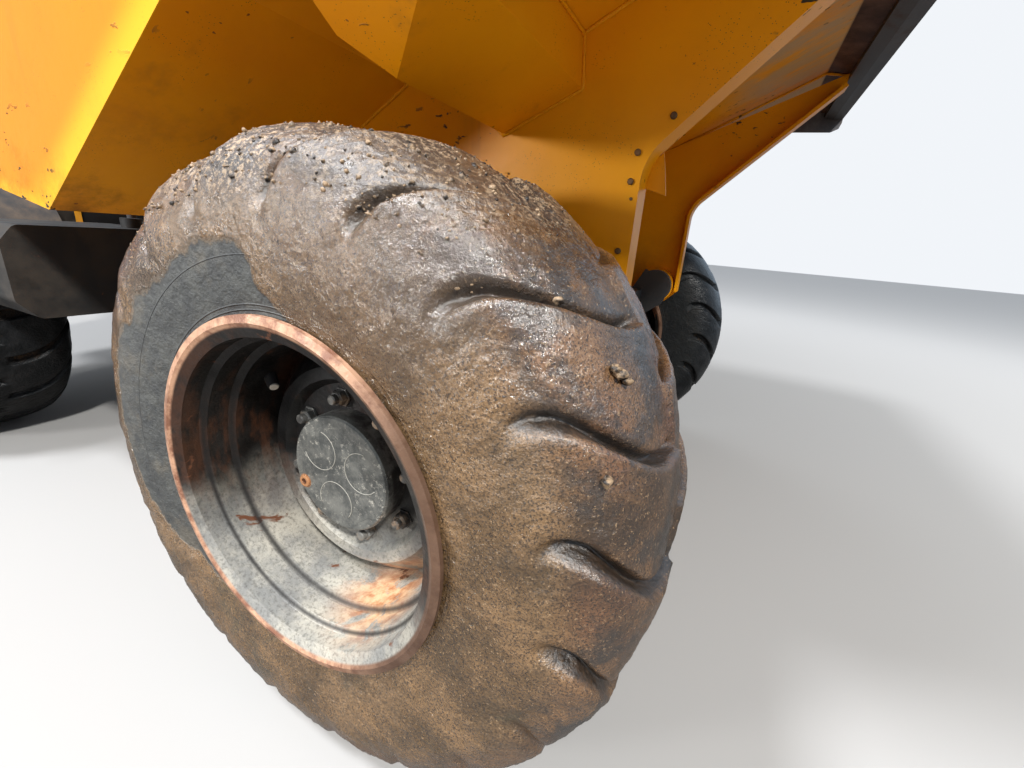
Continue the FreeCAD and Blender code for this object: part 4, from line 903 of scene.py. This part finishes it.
# %% The fittings of each wheel
HUB_FACE = 0.1263
DISC_FACE = 0.080
STUD_CIRCLE = 0.140
STUD_ANGLES = 102 + 45 * np.arange(8)
ARC_CIRCLE = 0.060
ARC_RADIUS = 0.040
ARC_LINE = 0.0008
VALVE_CIRCLE = 0.258
VALVE_ANGLE = 146.5
VALVE_OUT = 0.092
hub_finishes = {}
for name, (centre, side, *rest) in wheels.items():
    hub_finishes[name] = finish = hub_finish("hub_finish_" + name, centre, side)
    out = (0, side, 0)
    studs = [round_axle(centre, STUD_CIRCLE, angle, side * DISC_FACE) for angle in STUD_ANGLES]
    arcs = []
    for angle in (20.0, 140.0, 260.0):
        middle = round_axle(centre, ARC_CIRCLE, angle, side * HUB_FACE)
        bend = round_axle(middle, ARC_RADIUS, np.linspace(angle + 60, angle + 300, 40))
        arcs.append(tube(bend, ARC_LINE, 6))
    foot = [round_axle(centre, VALVE_CIRCLE, VALVE_ANGLE, side * VALVE_OUT)]
    inward = [np.array([0.0, side * 0.35, 0.0]) - heading(VALVE_ANGLE)]
    fittings = [("hub_cover_", turned(HUB, 96, [centre], [out]), finish, "hub_paint", {"crease": 30}),
                ("plug_", turned(PLUG, 20, [centre + PLUG_AT], [out]), finish, "hub_paint", {"crease": 30}),
                ("nuts_", turned(NUT, 6, studs, [out] * 8), finish, "hub_paint", {"smooth": False}),
                ("studs_", turned(STUD_END, 12, studs, [out] * 8), finish, "hub_paint", {"smooth": False}),
                ("cover_arcs_", arcs, scribed, "hub_paint", {}),
                ("valve_", turned(VALVE, 16, foot, inward), black_plastic, "tyre", {"crease": 30}),
                ("valve_cap_", turned(CAP, 16, foot, inward), pale_cap, "tyre", {"crease": 30})]
    for piece_name, grids, look, slot, edges in fittings:
        piece = surface(piece_name + name, grids, look, "wheel_" + name, slot, **edges)
        if piece_name == "hub_cover_":
            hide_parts("hub_" + name)

# %% [markdown]
# ## Welds
# The skip is welded up from plate, and each seam shows as a bead with ripples six millimetres apart.
# A bead is a round bar whose radius swells and shrinks along its length.


# %% Weld beads of the skip, along lines of (x, z)
FLOOR_FRONT = [(1.452, 1.4435), (1.993, 1.7155), (2.062, 1.706)]
FLOOR_REAR = [(1.443, 1.4400), (1.000, 1.3775), (0.500, 1.0890)]
BOX_EDGE = [(1.2225, 1.302), (1.2790, 1.2590), (1.4625, 1.3440), (1.4530, 1.4420)]
SIDE_SEAMS = ((FLOOR_FRONT, 0.6225, 0.0045), (FLOOR_REAR, 0.6225, 0.0045), (BOX_EDGE, 0.6215, 0.004),
              (FLOOR_FRONT[:2], 1.1405, 0.004))
BEAD_STEP = 0.002
RIPPLE = 0.0062


def bead(corners, radius):
    """Bar along a path with corners, whose radius is a sine of the distance along it plus noise."""
    path = along(corners, BEAD_STEP)
    distance = np.arange(len(path)) * BEAD_STEP
    swell = 1 + 0.16 * np.sin(distance * 2 * np.pi / RIPPLE) + 0.25 * lattice_noise(path, 0.03)
    return tube(path, radius * swell, 6)


beads = []
for side in (-1, 1):
    for line, y, radius in SIDE_SEAMS:
        beads.append(bead([(x, side * y, z) for x, z in line], radius))
    beads.append(bead([(1.4535, side * 0.622, 1.4425), (1.4535, side * 1.147, 1.4425)], 0.004))
surface("skip_welds", beads, leg_paint, "skip", "skip_yellow")

# %% [markdown]
# ## Seat
# Cushion and back are closed crowned forms: a ball with its directions measured by a high power mean,
# which gives flat middles and full, rounded edges. Sewn channels are narrow dips in the side one sits on,
# and a piping runs round each pad.


# %% One pad
CHANNEL_DEPTH = 0.008
CHANNEL_HALF = 0.008
PIPING = 0.0042


def pad_point(v, u, half, power=4.5):
    """Point in the direction at angle v from the pole and u round it, divided by the direction's power
    mean and stretched to the half sizes."""
    unit = np.stack([np.sin(v) * np.cos(u), np.sin(v) * np.sin(u), np.cos(v) + 0 * u], -1)
    return np.array(half) * unit / (np.abs(unit) ** power).sum(-1, keepdims=True) ** (1 / power)


def pad(centre, half, up_axis, channels, lean):
    """Grids of a pad and of its piping. channels holds (axis, place) of each sewn line."""
    order = [0, 1, 2] if up_axis == 2 else [2, 1, 0]
    size = [half[k] for k in order]
    v = np.linspace(0, np.pi, 150)[:, None]
    u = np.linspace(0, 2 * np.pi, 200, endpoint=False)[None, :]
    body = pad_point(v, u, size)
    face = steps(body[..., 2] / size[2], 0.55, 0.85)
    for axis, place in channels:
        body[..., 2] -= CHANNEL_DEPTH * face * np.exp(-((body[..., axis] - place) / CHANNEL_HALF) ** 2)
    body[..., 2] += 0.0015 * face * rough_noise(body, 0.06, 3)
    ring = pad_point(np.full((1, 161), 0.98), np.linspace(0, 2 * np.pi, 161)[None, :], size)[0]
    grids = []
    for grid in (body, tube(ring, PIPING)):
        grid = grid[..., order]
        grid[..., 0] -= lean * grid[..., 2]
        grids.append(grid + np.array(centre))
    return grids


# %% Cushion and back
CUSHION_LINES = [(0, -0.075), (0, 0.0), (0, 0.075), (1, -0.165), (1, 0.165)]
BACK_LINES = [(0, -0.10), (0, 0.0), (0, 0.10), (1, -0.160), (1, 0.160)]
cushion = pad((-0.948, 0.0, 1.2375), (0.172, 0.243, 0.056), 2, CUSHION_LINES, 0.0)
back = pad((-1.118, 0.0, 1.455), (0.041, 0.233, 0.203), 0, BACK_LINES, 0.13)
for name, (body, piping) in (("seat_pad", cushion), ("back_pad", back)):
    piece = surface(name, body, vinyl, "rear_frame", "seat_vinyl", flip=name == "back_pad")
    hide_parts("seat_cushion")
    surface(name + "_piping", piping, vinyl, "rear_frame", "seat_vinyl")

# %% [markdown]
# ## Lamp glass and small trim
# The two work lamps get a domed lens in a bezel, and the bonnet two rubber latches at each side.

# %% Lenses and latches
LENS = [(0.0, 0.0595), (0.006, 0.0590), (0.006, 0.0540), (0.0035, 0.0530), (0.008, 0.0430), (0.0110, 0.0250),
        (0.0120, 0.0)]
LATCH = [(0.0, 0.0), (0.0, 0.016), (0.010, 0.016), (0.014, 0.012), (0.014, 0.0)]
lens_at = [(-1.112, side * 0.350, 2.925) for side in (-1, 1)]
lenses = turned(LENS, 40, lens_at, [(1, 0, 0)] * 2)
surface("lamp_lenses", lenses, clear_lens, "rear_frame", "lamp_black")
latch_at = [(x, side * 0.430, 0.985) for side in (-1, 1) for x in (-1.42, -1.60)]
latches = turned(LATCH, 16, latch_at, [(0, y, 0) for x, y, z in latch_at])
surface("bonnet_latches", latches, black_plastic, "bonnet_lid", "lamp_black", smooth=False)

# %% [markdown]
# ## Finishes on the solids
# Each node keeps its own mesh and takes a finish by what it is made of. A rim's chalky side is wherever
# that wheel last stood, so the four differ.

# %% Beacon: amber dome on a black foot
DOME_FROM = 3.0815
beacon = Finish("beacon_finish", Coat_Weight=0.5)
dome = beacon.span(beacon.axis("Z"), DOME_FROM, DOME_FROM + 0.001)
beacon_tone = beacon.mix(dome, (0.02, 0.02, 0.022), AMBER)
beacon.done(beacon_tone, beacon.noise(20.0))

# %% Give every node its finish
NODE_FINISHES = [
    (tub_paint, "skip_tub"), (leg_paint, "skip_legs"), (lip_steel, "skip_lip"), (body_paint, "bonnet"),
    (rod_chrome, "tip_rod_left tip_rod_right steer_rod"), (pipe_steel, "exhaust"), (engine_paint, "engine"),
    (casting, "front_axle rear_axle shaft_front shaft_rear gearbox counterweight"),
    (deck_paint, "mudguards platform seat_box grille"), (tank_paint, "fuel_tank hydraulic_tank roll_bar"),
    (black_plastic, "console steering_wheel work_lamps"), (beacon.material, "beacon"),
    (red_lens, "rear_lamps"), (vinyl, "seat_cushion"),
]
finish_of = {name: finish for finish, names in NODE_FINISHES for name in names.split()}
LOW_SIDE = {"front_right": 270, "front_left": 250, "rear_left": 300, "rear_right": 215}
for name in WHEEL_NAMES:
    centre, side, *rest = wheels[name]
    finish_of["tyre_" + name] = clean_tyre
    finish_of["hub_" + name] = hub_finishes[name]
    finish_of["rim_" + name] = rim_finish("rim_" + name + "_finish", centre, side, LOW_SIDE[name])
for name, node in nodes.items():
    node.data.materials.clear()
    node.data.materials.append(finish_of.get(name, chassis_paint))
print("finished nodes", len(nodes))

# %% [markdown]
# ## Floor and light
# One lamp stands high behind the camera like a sun, and one high and one low to its left, whose
# reflections lie on the wet shoulder of the near tyre. A wide, weak one lights the far side, and a pale
# surround fills the shadows. The floor is pale to the camera, but passes on only a little light, as damp
# ground does, so the underside of the skip stays dark.


# %% One value for what is seen, others for reflections and for light
def by_ray(tree, seen, mirrored, lit):
    """Node output that is seen for camera and transmission rays, mirrored for glossy rays, and lit for
    all others."""
    rays = add_node(tree, "LightPath").outputs
    value = lit
    for ray, level in (("Is Glossy Ray", mirrored), ("Is Transmission Ray", seen), ("Is Camera Ray", seen)):
        choice = add_node(tree, "MapRange", {"Value": rays[ray], "To Min": value, "To Max": level})
        value = choice.outputs["Result"]
    return value


# %% Floor, paler with the distance from its middle
FLOOR_HALF = 40.0
BOUNCED = {"Red": 0.25, "Green": 0.21, "Blue": 0.17}
floor_mesh = bpy.data.meshes.new("floor")
corners = [(x * FLOOR_HALF, y * FLOOR_HALF, 0) for x, y in ((-1, -1), (1, -1), (1, 1), (-1, 1))]
floor_mesh.from_pydata(corners, [], [(0, 1, 2, 3)])
floor = bpy.data.objects.new("floor", floor_mesh)
bpy.context.scene.collection.objects.link(floor)
floor_finish = Finish("floor_finish", Roughness=0.9)
distance = floor_finish.vector("LENGTH", floor_finish.place, None, "Value")
paleness = floor_finish.span(distance, 2.0, 9.0, 0.42, 0.95)
levels = {channel: by_ray(floor_finish.tree, paleness, 0.16, level) for channel, level in BOUNCED.items()}
floor_finish.done(floor_finish.add("CombineColor", levels).outputs["Color"])
floor_mesh.materials.append(floor_finish.material)


# %% Lamps
def lamp(name, at, aim, size, watts, tint):
    """Round lamp of a size across, placed at a point and aimed at another."""
    data = bpy.data.lights.new(name, "AREA")
    data.shape = "DISK"
    data.size = size
    data.energy = watts
    data.color = tint
    light = bpy.data.objects.new(name, data)
    bpy.context.scene.collection.objects.link(light)
    light.location = at
    light.rotation_mode = "QUATERNION"
    light.rotation_quaternion = (Vector(aim) - Vector(at)).to_track_quat("-Z", "Y")
    print(name, watts, "W")


lamp("sun_side", (5.9, -5.5, 7.1), (1.2, -1.0, 0.9), 0.8, 1080, (1.0, 0.97, 0.92))
lamp("overhead", (-1.42, -3.6, 7.0), (1.38, -1.2, 1.06), 1.5, 600, (0.97, 0.98, 1.0))
lamp("low_side", (-1.7, -4.9, 1.75), (1.4, -1.2, 1.0), 0.7, 130, (1.0, 0.98, 0.95))
lamp("far_side", (-5.0, 6.5, 5.0), (0.0, 0.0, 1.0), 5.0, 150, (0.92, 0.96, 1.0))

# %% Surround: near white, bluer in reflections
SKY = (("Red", 0.66, 0.93), ("Green", 0.82, 0.96), ("Blue", 1.0, 1.0))
world = bpy.data.worlds.new("surround")
bpy.context.scene.world = world
world.use_nodes = True
tree = world.node_tree
background = tree.nodes["Background"]
tints = {channel: by_ray(tree, lit, mirrored, lit) for channel, mirrored, lit in SKY}
sky = add_node(tree, "CombineColor", tints)
tree.links.new(by_ray(tree, 0.95, 0.80, 0.43), background.inputs["Strength"])
tree.links.new(sky.outputs["Color"], background.inputs["Color"])
bpy.context.scene.view_settings.view_transform = "Standard"
